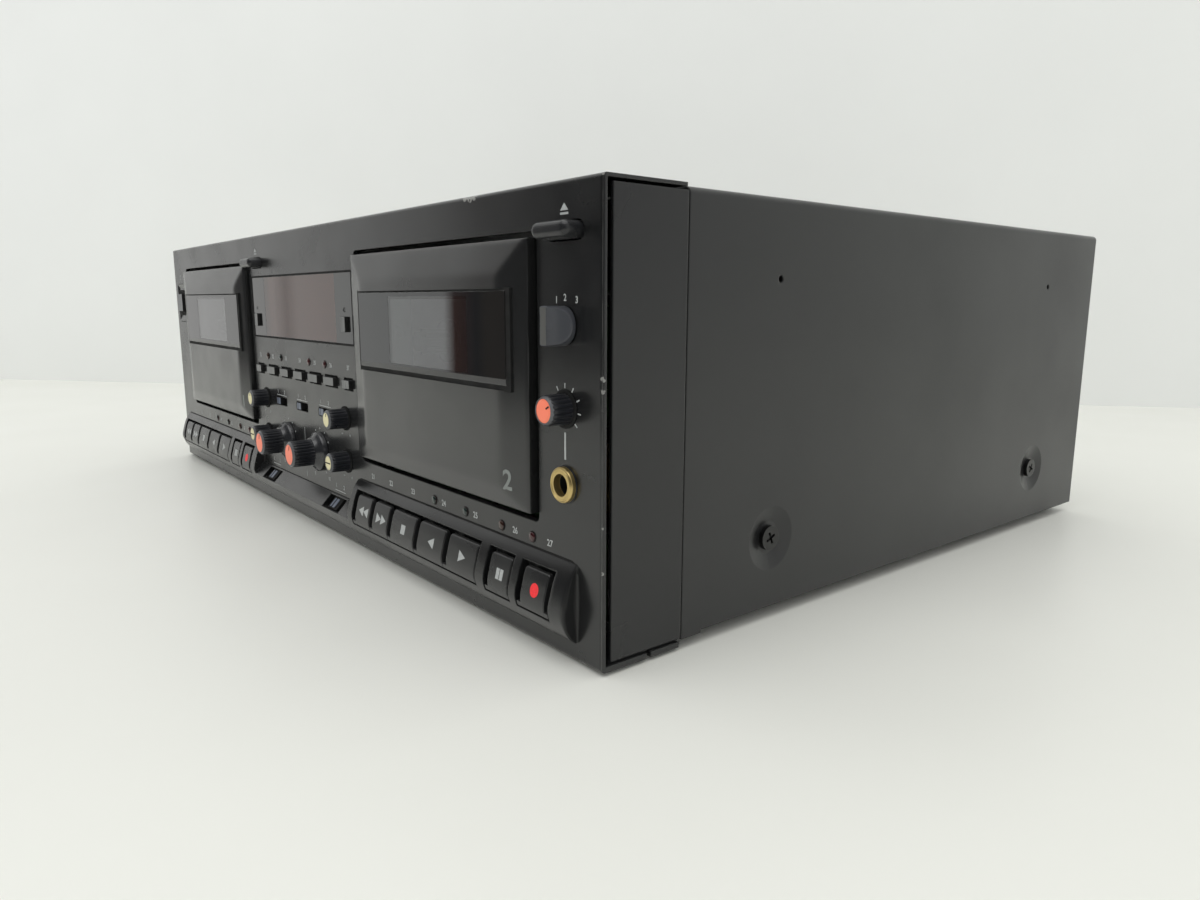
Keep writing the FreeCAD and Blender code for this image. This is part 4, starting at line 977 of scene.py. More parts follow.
@dataclass(frozen=True)
class PlainCoat(Finish):
    """Coat that is uneven in colour and gloss, with a pebbled relief or a clear coat if it has one."""

    spread: float = 0.10
    tone_mm: float = 0.7
    patch_mm: float = 0.5
    detail: float = 3.0
    rough: tuple[float, float] = (0.42, 0.58)
    pebble_deep: float = 0.0
    clear: float = 0.0

    def mixed(self, bench: Bench) -> Bench:
        """Blotches in colour and gloss; pebbles in the relief.

        Args:
            bench: The material's bench.

        Returns:
            The same bench.
        """
        if self.pebble_deep:
            bench.shade(Normal=bench.bumped(bench.noise(0.6, 3.0), self.pebble_deep, 0.5))
        if self.clear:
            bench.shade(Coat_Weight=self.clear, Coat_Roughness=0.05)
        rough = bench.ranged(bench.noise(self.patch_mm, self.detail), 0.3, 0.7, *self.rough)
        bench.shade(Base_Color=self.toned(bench, self.spread, self.tone_mm), Roughness=rough)
        return bench


def lens(name: str, tint: Colour) -> PlainCoat:
    """Unlit tinted lamp: a clear coat over a coloured body."""
    return PlainCoat(name, tint, 0.3, 1.2, 0.8, 2.0, (0.10, 0.18), clear=0.5)


def matt(name: str, tint: Colour) -> PlainCoat:
    """Matt rubber or moulding with a pebbled skin."""
    return PlainCoat(name, tint, 0.25, 4.0, 5.0, 4.0, (0.7, 0.9), pebble_deep=0.04)


@dataclass(frozen=True)
class BoardLaminate(Finish):
    """Lacquered circuit board with copper tracks under the lacquer."""

    track: Colour = (0.10, 0.20, 0.09)

    def mixed(self, bench: Bench) -> Bench:
        """Tracks are the dark joints of a fine brick pattern, broken up by noise.

        Args:
            bench: The material's bench.

        Returns:
            The same bench.
        """
        bricks = bench.add("ShaderNodeTexBrick", offset=0.35)
        bench.feed(bricks.inputs["Vector"], bench.scaled(4.0))
        share = bench.product(bricks.outputs["Fac"], bench.ranged(bench.noise(9.0), 0.4, 0.5))
        colour = bench.blended(share, self.toned(bench, 0.15, 20.0), self.track)
        relief = bench.bumped(share, 0.03, 0.4)
        rough = bench.ranged(bench.noise(12.0), 0.3, 0.7, 0.28, 0.4)
        bench.shade(Base_Color=colour, Roughness=rough, Normal=relief)
        return bench


CHIPS = (
    (217.4, 0.1, 28.5, 0.75), (217.4, 0.1, 41.0, 0.6), (217.4, 0.1, 77.6, 1.0), (217.4, 0.1, 80.6, 1.1),
    (217.2, 0.1, 131.8, 0.8), (150.5, 0.0, 132.0, 1.8), (153.4, 0.0, 131.9, 2.3), (156.0, 0.0, 132.0, 1.9),
    (217.4, 0.1, 60.0, 0.4), (88.0, 0.0, 132.0, 0.7),
)
LEDGE_END = ((0.2066, -0.1505, 0.0182), 14.0, 2.0)   # where the ledge's end is softer than other edges
PANEL_BLACK = FrontPlastic("panel_black_satin", (0.009, 0.0093, 0.0096), 0.25, edge_mm=0.5, ior=1.62,
                           softer=LEDGE_END, chips=CHIPS)
DOOR_BLACK = SatinPlastic("door_black_satin", (0.011, 0.0113, 0.0114), 0.23, ior=1.72)
KEY_BLACK = SatinPlastic("key_black_satin", (0.015, 0.0152, 0.0155), 0.28, edge_mm=0.1, ior=1.6)
BUTTON_BLACK = SatinPlastic("button_black_satin", (0.016, 0.0165, 0.018), 0.26, edge_mm=0.12)
BUTTON_GREY = SatinPlastic("button_mid_grey", (0.11, 0.113, 0.112), 0.30, edge_mm=0.1)
KNOB_BLACK = SatinPlastic("knob_black_satin", (0.011, 0.012, 0.0155), 0.32, 0.2, edge_mm=0.12)
KNOB_RIM = SatinPlastic("knob_rim_grey", (0.105, 0.108, 0.115), 0.34, 0.2, edge_mm=0.1)
SELECTOR_GREY = SatinPlastic("selector_dark_grey", (0.052, 0.055, 0.064), 0.36, 0.2, edge_mm=0.2)
# Paler grey of the strip painted as the highlight on the selector's finger bar.
SELECTOR_HIGHLIGHT_GREY = SatinPlastic("selector_painted_highlight", (0.080, 0.080, 0.076), 0.34, 0.2, edge_mm=0.1)
SLIDE_BLUE = SatinPlastic("slide_blue_grey", (0.105, 0.125, 0.17), 0.34, 0.2, edge_mm=0.1)
CORAL = SatinPlastic("cap_coral", (0.98, 0.222, 0.124), 0.40, 0.2, 0.006, 0.12, 0.02, 0.04)
CREAM = SatinPlastic("cap_cream", (0.72, 0.66, 0.40), 0.42, 0.2, 0.006, 0.12, 0.02, 0.06)
# Near-black that paints the shade in gaps, grooves, recesses, slots and on button sides; it is also the
# real black of the lamp rings, the cap marks and the socket's liner.
SHADE_AND_TRIM_BLACK = matt("shade_and_trim_black", (0.003, 0.003, 0.003))
COVER_PAINT = PaintedSheet("cover_black_paint", (0.0095, 0.0098, 0.0103), ior=1.58)
WING_PAINT = PaintedSheet("wing_black_paint", (0.0085, 0.0088, 0.0094), 0.30)
REAR_PAINT = PaintedSheet("rear_black_paint", (0.018, 0.018, 0.019), 0.40)
ZINC = BareMetal("zinc_plate", (0.50, 0.50, 0.49), 0.38)
SCREW_BLACK = BareMetal("screw_blackened", (0.060, 0.060, 0.060), 0.34, (0.5, 0.5, 8.0), 0.15)
BRASS = BareMetal("socket_brass", (0.60, 0.50, 0.34), 0.17, (0.4, 12.0, 0.4), 0.2)
COLLAR_SATIN = SatinPlastic("collar_dark_satin", (0.022, 0.0228, 0.0255), 0.20, 0.2, edge_mm=0.12, ior=1.7)
IRON = BareMetal("laminated_iron", (0.12, 0.10, 0.085), 0.5, (30.0, 30.0, 0.5))
DOOR_PANE = PolishedPane("door_pane_smoked", (0.30, 0.31, 0.32), 0.99, ior=1.85)
PANE_BORDER = PolishedPane("pane_border_black", (0.012, 0.012, 0.013), 0.0, ior=1.55)
DISPLAY_PANE = PolishedPane("display_pane_brown", (0.21, 0.085, 0.06))
DISPLAY_BORDER = PolishedPane("display_border_black", (0.009, 0.0092, 0.009), 0.0, ior=1.62)
INK = PlainCoat("ink_pale_grey", (0.40, 0.415, 0.41))
INK_DIM = PlainCoat("ink_dim_grey", (0.20, 0.215, 0.205))
INK_RED = PlainCoat("ink_red", (0.90, 0.022, 0.030))
RUBBER = matt("foot_rubber", (0.016, 0.016, 0.016))
BOARD = BoardLaminate("board_green", (0.035, 0.085, 0.030))
LAMP_GREEN = lens("lamp_green", (0.005, 0.016, 0.013))
LAMP_AMBER = lens("lamp_amber", (0.028, 0.010, 0.005))
LAMP_RED = lens("lamp_red", (0.036, 0.004, 0.005))


# ---- workshop ------------------------------------------------------------------------
@dataclass
class Workshop:
    """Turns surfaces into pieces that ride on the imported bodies, and counts them."""

    made: int = 0

    def piece(self, name: str, surface: Surface, finish: Finish, body: str,
              closed: bool = True, sharp_deg: float = 40.0) -> bpy.types.Object:
        """Make one piece.

        Args:
            name: The piece's name.
            surface: Its shape, in panel millimetres.
            finish: What it is finished in.
            body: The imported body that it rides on.
            closed: True if its faces close and can be turned outwards.
            sharp_deg: Angle above which an edge stays sharp.

        Returns:
            The new object.
        """
        points = (surface.points + np.array([0.0, PANEL_FACE_Y, PANEL_LIFT])) * MM
        mesh = bpy.data.meshes.new(name)
        mesh.from_pydata(points, [], surface.quads.tolist() + surface.flats)
        if closed:
            solid = bmesh.new()
            solid.from_mesh(mesh)
            bmesh.ops.recalc_face_normals(solid, faces=solid.faces)
            solid.to_mesh(mesh)
            solid.free()
        mesh.polygons.foreach_set("use_smooth", np.ones(len(mesh.polygons), bool))
        mesh.set_sharp_from_angle(angle=math.radians(sharp_deg))
        mesh.materials.append(finish.material())
        made = bpy.data.objects.new(name, mesh)
        bpy.context.scene.collection.objects.link(made)
        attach(made, body)
        self.made += 1
        LOG.info("piece %s: %d points", name, len(points))
        return made

    def marks(self, name: str, surfaces: Iterable[Surface], finish: Finish, body: str = CHASSIS) -> None:
        """Make one piece of several flat marks on a body."""
        self.piece(name, joined(surfaces), finish, body, closed=False)

    def dress(self, node: str, finish: Finish) -> None:
        """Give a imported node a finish.

        Args:
            node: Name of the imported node.
            finish: What it is finished in.
        """
        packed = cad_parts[node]
        packed.data.materials.clear()
        packed.data.materials.append(finish.material())
        LOG.info("node %s: %s", node, finish.name)


# ---- sub-assemblies ------------------------------------------------------------------
@dataclass
class CaseShell:
    """Front moulding, cover, tray, rear plate, feet and screws."""

    finishes: dict[str, Finish] = field(default_factory=lambda: {
        "front_bezel": PANEL_BLACK, "top_cover": COVER_PAINT, "chassis_tray": WING_PAINT,
        "rear_panel": REAR_PAINT, "feet": RUBBER, "case_screws": SCREW_BLACK, "rear_sockets": BUTTON_BLACK,
        "indicator_lamps": LAMP_RED, "circuit_boards": BOARD, "power_transformer": IRON,
        "tape_mechanisms": ZINC,
    })

    def build(self, shop: Workshop) -> None:
        """Dress the case's nodes."""
        for node, finish in self.finishes.items():
            shop.dress(node, finish)


@dataclass
class CassetteDoor:
    """One cassette door: a softly bevelled skin, a pane, the joint round it with a near-black bed behind
    that paints the joint's shade, and a number.
    """

    number: str
    x: float
    half_width: float = 59.9
    low: float = 39.35
    high: float = 117.7
    edge_proud: float = 2.0
    face_proud: float = 4.1
    bevel_side: float = 12.0
    bevel_top: float = 10.0
    bevel_bottom: float = 6.5
    softness: float = 0.05
    lift: float = 0.12
    ease: float = 0.25
    pane_left: float = -49.9
    pane_right: float = 51.5
    pane_low: float = 76.1
    pane_high: float = 103.5
    pane_proud: float = 3.95
    joint: float = 0.5
    joint_right: float = 1.9
    joint_low: float = 1.4
    bed_proud: float = 3.84
    clear_left: float = -24.5
    clear_right: float = 29.7
    clear_low: float = 78.6
    clear_high: float = 102.0
    number_height: float = 6.2
    number_x: float = 50.8
    number_z: float = 48.2
    rim: float = 0.05
    root_y: float = 1.2
    bed_over: float = 0.3
    bed_band: float = 3.2

    def depth(self, x: Grid, z: Grid) -> Grid:
        """y of the skin.

        Four ramps rise from the sides to the face.  Their soft minimum with 1, which is minus the
        softness times the logarithm of the summed exponentials, blends them with round creases.
        Within the ease radius of the outline a quarter circle is taken off.

        Args:
            x: Places along x.
            z: Heights.

        Returns:
            y at each place.
        """
        gaps = [self.half_width - np.abs(x - self.x), z - self.low, self.high - z]
        bevels = (self.bevel_side, self.bevel_bottom, self.bevel_top)
        ramps = [gap / bevel for gap, bevel in zip(gaps, bevels)] + [1.0]
        share = -self.softness * np.log(sum(np.exp(-ramp / self.softness) for ramp in ramps))
        nearest = np.clip(np.minimum.reduce(gaps), 0, self.ease)
        round_off = self.ease - np.sqrt(self.ease ** 2 - (self.ease - nearest) ** 2)
        return -(self.edge_proud + (self.face_proud - self.edge_proud) * share + self.lift - round_off)

    def opening(self) -> tuple[float, float, float, float]:
        """Left, right, low and high side of the skin's opening round the pane and its joint."""
        return (self.x + self.pane_left - self.joint, self.x + self.pane_right + self.joint_right,
                self.pane_low - self.joint_low, self.pane_high + self.joint)

    def skin(self) -> Surface:
        """The door's front with its round outer edge, open at the pane.

        Returns:
            The skin's surface.
        """
        half = self.half_width + self.rim
        left, right, low, high = self.opening()
        x_lines = eased_lines(self.x - half, self.x + half, self.ease, 90)
        z_lines = eased_lines(self.low - self.rim, self.high + self.rim, self.ease, 70)
        x_lines = np.unique(np.concatenate([x_lines, [left, right]]))
        z_lines = np.unique(np.concatenate([z_lines, [low, high]]))
        grid_x, grid_z = np.meshgrid(np.pad(x_lines, 1, "edge"), np.pad(z_lines, 1, "edge"))
        depth = self.depth(grid_x, grid_z)
        for edge in (np.s_[0, :], np.s_[-1, :], np.s_[:, 0], np.s_[:, -1]):
            depth[edge] = self.root_y
        skin = open_sheet(np.stack([grid_x, depth, grid_z], axis=-1))
        x, _, z = skin.points[skin.quads].mean(axis=1).T
        inside = (x > left) & (x < right) & (z > low) & (z < high)
        skin.quads = skin.quads[~inside]
        return skin

    def build(self, shop: Workshop) -> None:
        """Build the skin, pane, joint and print, and dress the door's nodes.

        Args:
            shop: Workshop that makes the pieces.
        """
        body = "door_" + self.number
        shop.dress(body, DOOR_BLACK)
        skin = self.skin()
        if quad_normals(skin)[:, 1].sum() > 0:
            skin.quads = skin.quads[:, ::-1]
        shop.piece("door_skin_" + self.number, skin, DOOR_BLACK, body, False)
        self.build_pane(shop, body)
        digit = numeral(self.number, self.x + self.number_x, self.number_z, self.number_height, self)
        shop.marks("door_print_" + self.number, [digit], INK_DIM, body)

    def build_pane(self, shop: Workshop, body: str) -> None:
        """Build the pane, the black border round its clear part, and the near-black bed round it that
        paints the shade in the joint.

        Args:
            shop: Workshop that makes the pieces.
            body: Name of the door's body.
        """
        x, z = self.x + (self.pane_left + self.pane_right) / 2, (self.pane_low + self.pane_high) / 2
        width, height = self.pane_right - self.pane_left, self.pane_high - self.pane_low
        pane = cushion_block(x, z, width, height, 0.4, 0.2, FlatFace(self.pane_proud), -2.2)
        made = shop.piece("door_pane_" + self.number, pane, DOOR_PANE, body)
        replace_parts(made, "door_window_" + self.number)
        edge = 0.2
        lines_x = [self.pane_left + edge, self.clear_left, self.clear_right, self.pane_right - edge]
        lines_z = [self.pane_low + edge, self.clear_low, self.clear_high, self.pane_high - edge]
        border = printed_patch(*np.meshgrid(np.array(lines_x) + self.x, lines_z), FlatFace(self.pane_proud))
        border.quads = np.delete(border.quads, 4, axis=0)
        shop.marks("door_pane_border_" + self.number, [border], PANE_BORDER, body)
        left, right, low, high = self.opening()
        # Painted shade: a near-black bed behind the joint round the pane, where the gap falls dark.
        corner, front, back = 0.3, -self.bed_proud, -1.6
        section = ((0.0, back), (0.0, front), (self.bed_band, front), (self.bed_band, back), (0.0, back))
        bed = nested_outlines((left + right) / 2, (low + high) / 2, right - left + 2 * self.bed_over,
                              high - low + 2 * self.bed_over, [(inset, corner, y) for inset, y in section])
        shop.piece("door_pane_shade_bed_" + self.number, bed, SHADE_AND_TRIM_BLACK, body)


KEY_LAMPS = {Sign.REVERSE: (7.0, LAMP_GREEN), Sign.PLAY: (7.1, LAMP_GREEN),
             Sign.PAUSE: (2.2, LAMP_AMBER), Sign.RECORD: (0.9, LAMP_RED)}    # in from the key's left
KEY_INSETS = {Sign.REWIND: (2.4, -0.1), Sign.PAUSE: (1.5, 0.0), Sign.RECORD: (1.7, 1.4)}    # of the face


@dataclass
class TransportBank:
    """Keys of one deck with their signs, lamps and legends."""

    number: str
    start: float
    wide: float = 21.2
    narrow: float = 15.9
    pause_rest: float = 4.9
    pause_wide: float = 14.4
    record_rest: float = 3.6
    record_wide: float = 16.8
    gap: float = 0.9
    row_in: float = 4.0
    end: float = 146.6
    key_z: float = 17.6
    key_height: float = 12.4
    key_corner: float = 0.9
    key_ease: float = 0.4
    key_proud: float = -0.1
    key_back: float = -1.7
    lip: float = 1.7
    lip_over: float = 0.35
    well_y: float = 0.4
    well_z: float = 18.1
    well_height: float = 14.1
    insets: tuple[float, float] = (2.3, -0.1)
    sign_shift: float = 0.6
    sign_z: float = 18.2
    sign_size: float = 3.3
    lamp_z: float = 31.8
    number_x: tuple[float, ...] = (14.2, 30.4, 48.4, 71.4, 92.4, 115.7, 133.8)
    numeral_height: float = 2.1
    line_z: float = 28.75
    line_height: float = 0.9
    line_corner: float = 3.0

    def spans(self) -> list[tuple[Sign, float, float]]:
        """Sign, left side and right side of each key.

        Returns:
            One row for each key, from the left.
        """
        spans = []
        left = self.start + self.row_in + self.gap
        for sign in (Sign.REWIND, Sign.FORWARD, Sign.STOP, Sign.REVERSE, Sign.PLAY):
            pitch = self.narrow if sign in (Sign.REWIND, Sign.FORWARD) else self.wide
            spans.append((sign, left, left + pitch - self.gap))
            left += pitch
        for sign, rest, wide in ((Sign.PAUSE, self.pause_rest, self.pause_wide),
                                 (Sign.RECORD, self.record_rest, self.record_wide)):
            left += rest
            spans.append((sign, left + self.gap, left + wide - self.gap))
            left += wide
        return spans

    def key(self, left: float, right: float, face_left: float, face_right: float) -> Surface:
        """A key's face between two sides, on a lip that is wider than the face.

        Args:
            left: Left side of the key's place.
            right: Right side of the key's place.
            face_left: Left side of its face.
            face_right: Right side of its face.

        Returns:
            The face and the lip.
        """
        face, lip_face = LedgeFace(self.key_proud), LedgeFace(self.key_proud - 0.05)
        lip_z = self.key_z + (self.lip - self.key_height) / 2
        block = cushion_block((face_left + face_right) / 2, self.key_z, face_right - face_left,
                              self.key_height, self.key_corner, self.key_ease, face, self.key_back)
        lip = cushion_block((left + right) / 2, lip_z, right - left + 2 * self.lip_over, self.lip,
                            0.3, 0.2, lip_face, self.key_back)
        return joined([block, lip])

    def build(self, shop: Workshop) -> None:
        """Build every key with its sign, the wells behind them, and the lamps and numbers above them.

        Args:
            shop: Workshop that makes the pieces.
        """
        face = LedgeFace(self.key_proud)
        legends = []
        for place, (sign, left, right) in enumerate(self.spans(), 1):
            node = "key_%s_%s" % (sign.value, self.number)
            inset_left, inset_right = KEY_INSETS.get(sign, self.insets)
            face_left, face_right = left + inset_left, right - inset_right
            block = self.key(left, right, face_left, face_right)
            made = shop.piece("cap_" + node, block, KEY_BLACK, node)
            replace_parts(made, node)
            middle = (face_left + face_right) / 2 + self.sign_shift
            ink = INK_RED if sign is Sign.RECORD else INK
            shop.marks("sign_" + node, [sign.marks(middle, self.sign_z, self.sign_size, face)], ink, node)
            if sign in KEY_LAMPS:
                reach, finish = KEY_LAMPS[sign]
                lamp(shop, "lamp_%s_%s" % (sign.value, self.number), left + reach, self.lamp_z, finish)
            spot = self.start + self.number_x[place - 1]
            legends.append(numeral(self.number + str(place), spot, self.lamp_z, self.numeral_height))
        shop.marks("numbers_keys_" + self.number, legends, INK)
        self.build_shadows(shop)

    def build_shadows(self, shop: Workshop) -> None:
        """Build the near-black wells behind the keys and the black band along the ledge's top, both painted
        shade: of the recesses round the keys and of the groove where the ledge meets the panel.

        The groove's shade is a band of one height that turns down by a quarter circle at both ends.

        Args:
            shop: Workshop that makes the pieces.
        """
        spans = self.spans()
        wells = []
        for left, right in ((spans[0][1], spans[4][2]), spans[5][1:], spans[6][1:]):
            width = right - left + 2 * self.gap - 0.1
            wells.append(cushion_block((left + right) / 2, self.well_z, width, self.well_height, 0.3, 0.05,
                                       FlatFace(-self.well_y), self.well_y + 0.6))
        # Painted shade: near-black wells behind the keys, where the recesses round them fall dark.
        shop.piece("key_wells_shade_" + self.number, joined(wells), SHADE_AND_TRIM_BLACK, CHASSIS)
        # Painted shade: a flat black band where the groove along the ledge's top falls dark.
        radius, turn = self.line_corner, np.linspace(0, math.pi / 2, 9)
        out_x = np.concatenate([-np.cos(turn), np.sin(turn)])
        out_z = np.concatenate([np.sin(turn), np.cos(turn)])
        centre_x = self.start + np.repeat([radius, self.end - radius], len(turn))
        reach = radius + np.linspace(-0.5, 0.5, 3)[:, None] * self.line_height
        joint = printed_patch(centre_x + reach * out_x, self.line_z - radius + reach * out_z, FlatFace())
        shop.marks("ledge_groove_shade_" + self.number, [joint], SHADE_AND_TRIM_BLACK)


def lamp(shop: Workshop, name: str, x: float, z: float, finish: Finish) -> None:
    """Build a small domed lamp of a finish about a middle, and the dark ring round it.

    Args:
        shop: Workshop that makes the pieces.
        name: Name of the lamp's piece.
        x: Middle of the lamp.
        z: Middle of the lamp.
        finish: What the dome is finished in.
    """
    radius, columns = 1.45, 28
    turn = np.linspace(0, math.pi / 2 * 0.96, 7)
    dome = [(radius, -0.3)] + [(radius * math.cos(t), 0.25 + 0.5 * math.sin(t)) for t in turn]
    shop.piece(name, turned_form(x, z, dome, columns), finish, CHASSIS)
    ring = [(1.46, -0.1), (1.75, -0.1), (1.75, 0.1), (1.68, 0.16), (1.52, 0.16), (1.46, 0.1)]
    shop.piece(name + "_ring", ring_form(x, z, ring, columns), SHADE_AND_TRIM_BLACK, CHASSIS)


DOOR_X = 126.75                  # doors' middles, either side of the middle
BANK_STARTS = (-207.0, 60.0)     # left ends of the two ledges
KNOB_X = 49.3                    # small knobs, either side of the middle
KNOB_ROWS = (52.4, 34.4)
LEVEL_X = 20.0                   # level knobs, either side of the middle
LEVEL_Z = 34.4
COLUMN_X = 201.3                 # middle of the right column
ROW_LAMPS = ((-43.3, LAMP_AMBER), (-25.0, LAMP_GREEN), (11.3, LAMP_RED), (29.8, LAMP_RED))


@dataclass
class CentreConsole:
    """Display outline, painted as the shade of the joint round the pane, its two buttons, the button row,
    the small slides and the print.
    """

    display_z: float = 97.5
    display_width: float = 123.2
    display_height: float = 29.0
    display_joint: float = 0.9
    display_clear: tuple[float, float] = (-43.0, 44.5)
    display_button_x: float = 54.3
    display_button_z: float = 91.1
    row_z: float = 66.9
    row_pitch: float = 18.2
    row_lamp_z: float = 73.6
    option_z: float = 52.4
    option_pitch: float = 27.3
    option_blocks: tuple[tuple[float, float], ...] = ((-5.05, 1.1), (-2.45, 3.1))
    noise_x: float = 39.5
    noise_z: float = 14.65
    noise_blocks: tuple[tuple[float, float], ...] = ((-2.5, 1.3), (0.3, 2.3))
    slope_z: float = 17.75
    slope_half: float = 59.0
    dial_radius: float = 10.3

    def build(self, shop: Workshop) -> None:
        """Build the console's pieces from the top down.

        Args:
            shop: Workshop that makes the pieces.
        """
        self.build_display(shop)
        self.build_row(shop)
        self.build_slides(shop)
        shop.marks("legends_console", self.legends(), INK)

    def plated_button(self, shop: Workshop, node: str, x: float, z: float, body: tuple[float, float],
                      plate: tuple[float, float], proud: float) -> None:
        """Build a near-black button body level with the panel and a near-black flank round the plate, both
        painted shade of the opening and of the plate's sides, and the grey plate that stands out of it.

        Args:
            shop: Where pieces are made.
            node: The button's node.
            x: Its middle.
            z: Its middle.
            body: Width and height of the body.
            plate: Width and height of the plate.
            proud: How far the plate stands out.
        """
        sunk, back = 0.35, 5.0
        # Body and flank are painted shade: near-black where the opening and the plate's sides fall dark.
        block = cushion_block(x, z, *body, 0.5, 0.1, FlatFace(-sunk), back)
        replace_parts(shop.piece("body_" + node, block, SHADE_AND_TRIM_BLACK, node), node)
        shade_flank = cushion_block(x, z, *plate, 0.4, 0.1, FlatFace(proud - 0.1), 1.0)
        shop.piece("flank_" + node, shade_flank, SHADE_AND_TRIM_BLACK, node)
        face = DishedFace(x, z, plate[0] / 2, proud, 0.05)
        width, height = (side - 0.1 for side in plate)
        cap = cushion_block(x, z, width, height, 0.4, 0.08, face, 0.15 - proud)
        shop.piece("plate_" + node, cap, BUTTON_GREY, node)

    def build_display(self, shop: Workshop) -> None:
        """Dress the pane and build its buttons and its outline, which paints the shade of the joint round
        it.

        Args:
            shop: Workshop that makes the pieces.
        """
        shop.dress("display_window", DISPLAY_PANE)
        y = -0.02 - PRINT_T
        # Painted shade: a black ring where the joint round the display pane falls dark.
        outline = nested_outlines(0.0, self.display_z, self.display_width + 1.0, self.display_height + 1.0,
                                  ((0.0, 0.8, y), (self.display_joint, 0.0, y)))
        shop.marks("display_joint_shade", [facing_front(outline)], SHADE_AND_TRIM_BLACK)
        edge = 0.4
        reach_x, reach_z = self.display_width / 2 - edge, self.display_height / 2 - edge
        lines_z = self.display_z + np.array([-reach_z, reach_z])
        sides = ((-reach_x, self.display_clear[0]), (self.display_clear[1], reach_x))
        borders = [printed_patch(*np.meshgrid(np.array(lines_x), lines_z), FlatFace()) for lines_x in sides]
        shop.marks("display_border", borders, DISPLAY_BORDER)
        for number, side in (("1", -1), ("2", 1)):
            self.plated_button(shop, "display_button_" + number, side * self.display_button_x,
                               self.display_button_z, (8.0, 6.8), (4.3, 6.2), 1.3)

    def build_row(self, shop: Workshop) -> None:
        """Build the seven buttons and the four lamps over them.

        Args:
            shop: Workshop that makes the pieces.
        """
        for index in range(7):
            x = (index - 3) * self.row_pitch
            end = index in (0, 6)
            body, plate = ((8.4, 4.4), (6.9, 3.5)) if end else ((13.0, 4.4), (10.8, 3.5))
            self.plated_button(shop, "row_button_%d" % (index + 1), x, self.row_z, body, plate, 1.55)
        for place, (x, finish) in enumerate(ROW_LAMPS, 1):
            lamp(shop, "lamp_row_%d" % place, x, self.row_lamp_z, finish)

    def build_slides(self, shop: Workshop) -> None:
        """Dress the slides near-black, as painted shade of their slots, set a narrow and a wide pale block
        on each, and print a black band along the slope's top as the shade of the groove there.

        Args:
            shop: Workshop that makes the pieces.
        """
        for place in (1, 2, 3):
            middle = (place - 2) * self.option_pitch
            blocks = [cushion_block(middle + reach, self.option_z, width, 3.0, 0.2, 0.06,
                                    FlatFace(0.5), 1.0) for reach, width in self.option_blocks]
            self.slide(shop, "option_slide_%d" % place, blocks)
        for number, side in (("1", -1), ("2", 1)):
            middle = side * self.noise_x
            blocks = [cushion_block(middle + reach, self.noise_z, width, 3.1, 0.2, 0.1,
                                    SlopingFace(0.6), -0.8) for reach, width in self.noise_blocks]
            self.slide(shop, "noise_slide_" + number, blocks)
        # Painted shade: a black band where the groove at the slope's top falls dark.
        shop.marks("slope_groove_shade", [bar(0.0, self.slope_z, 2 * self.slope_half, 0.9)], SHADE_AND_TRIM_BLACK)

    def slide(self, shop: Workshop, node: str, blocks: list[Surface]) -> None:
        """Dress a slide near-black, as painted shade of its slot, and set its pale blocks on it."""
        shop.dress(node, SHADE_AND_TRIM_BLACK)
        shop.piece("blocks_" + node, joined(blocks), SLIDE_BLUE, node)

    def legends(self) -> list[Surface]:
        """Plain numbers and thin rules of the console.

        Returns:
            Marks to print.
        """
        pairs = [(index * self.option_pitch, 4.6, 4.2, 57.0, 55.3, 13.0) for index in (-1, 0, 1)]
        pairs += [(side * 40.0, 4.2, 4.2, 21.8, 19.6, 11.0) for side in (-1, 1)]
        marks = [numeral("3%d" % (index + 1), (index - 3) * self.row_pitch, self.row_lamp_z, 2.0)
                 for index in range(7)]
        marks += [numeral(text, x, 96.9, 1.9) for text, x in (("41", -55.0), ("42", 53.6))]
        for x, left, right, number_z, rule_z, rule in pairs:
            marks += [numeral("1", x - left, number_z, 1.8), numeral("2", x + right, number_z, 1.8),
                      bar(x, rule_z, rule, 0.3)]
        for side in (-1, 1):
            for row_z in KNOB_ROWS:
                left, right, z = side * KNOB_X - 4.0, side * KNOB_X + 4.0, row_z - 6.8
                marks += [bar(left, z, 1.3, 0.35), bar(right, z, 1.3, 0.35), bar(right, z, 0.35, 1.3)]
            for turn_deg in range(-150, 151, 30):
                turn = math.radians(turn_deg)
                marks.append(disc(side * LEVEL_X + self.dial_radius * math.sin(turn),
                                  LEVEL_Z + self.dial_radius * math.cos(turn), 0.4))
            marks += [numeral(text, side * LEVEL_X + reach, 23.2, 1.7)
                      for text, reach in (("0", -8.2), ("10", 8.4))]
        marks += [bar(1.2, 39.0, 0.35, 8.0), bar(1.2, 21.5, 0.35, 3.0)]
        return marks


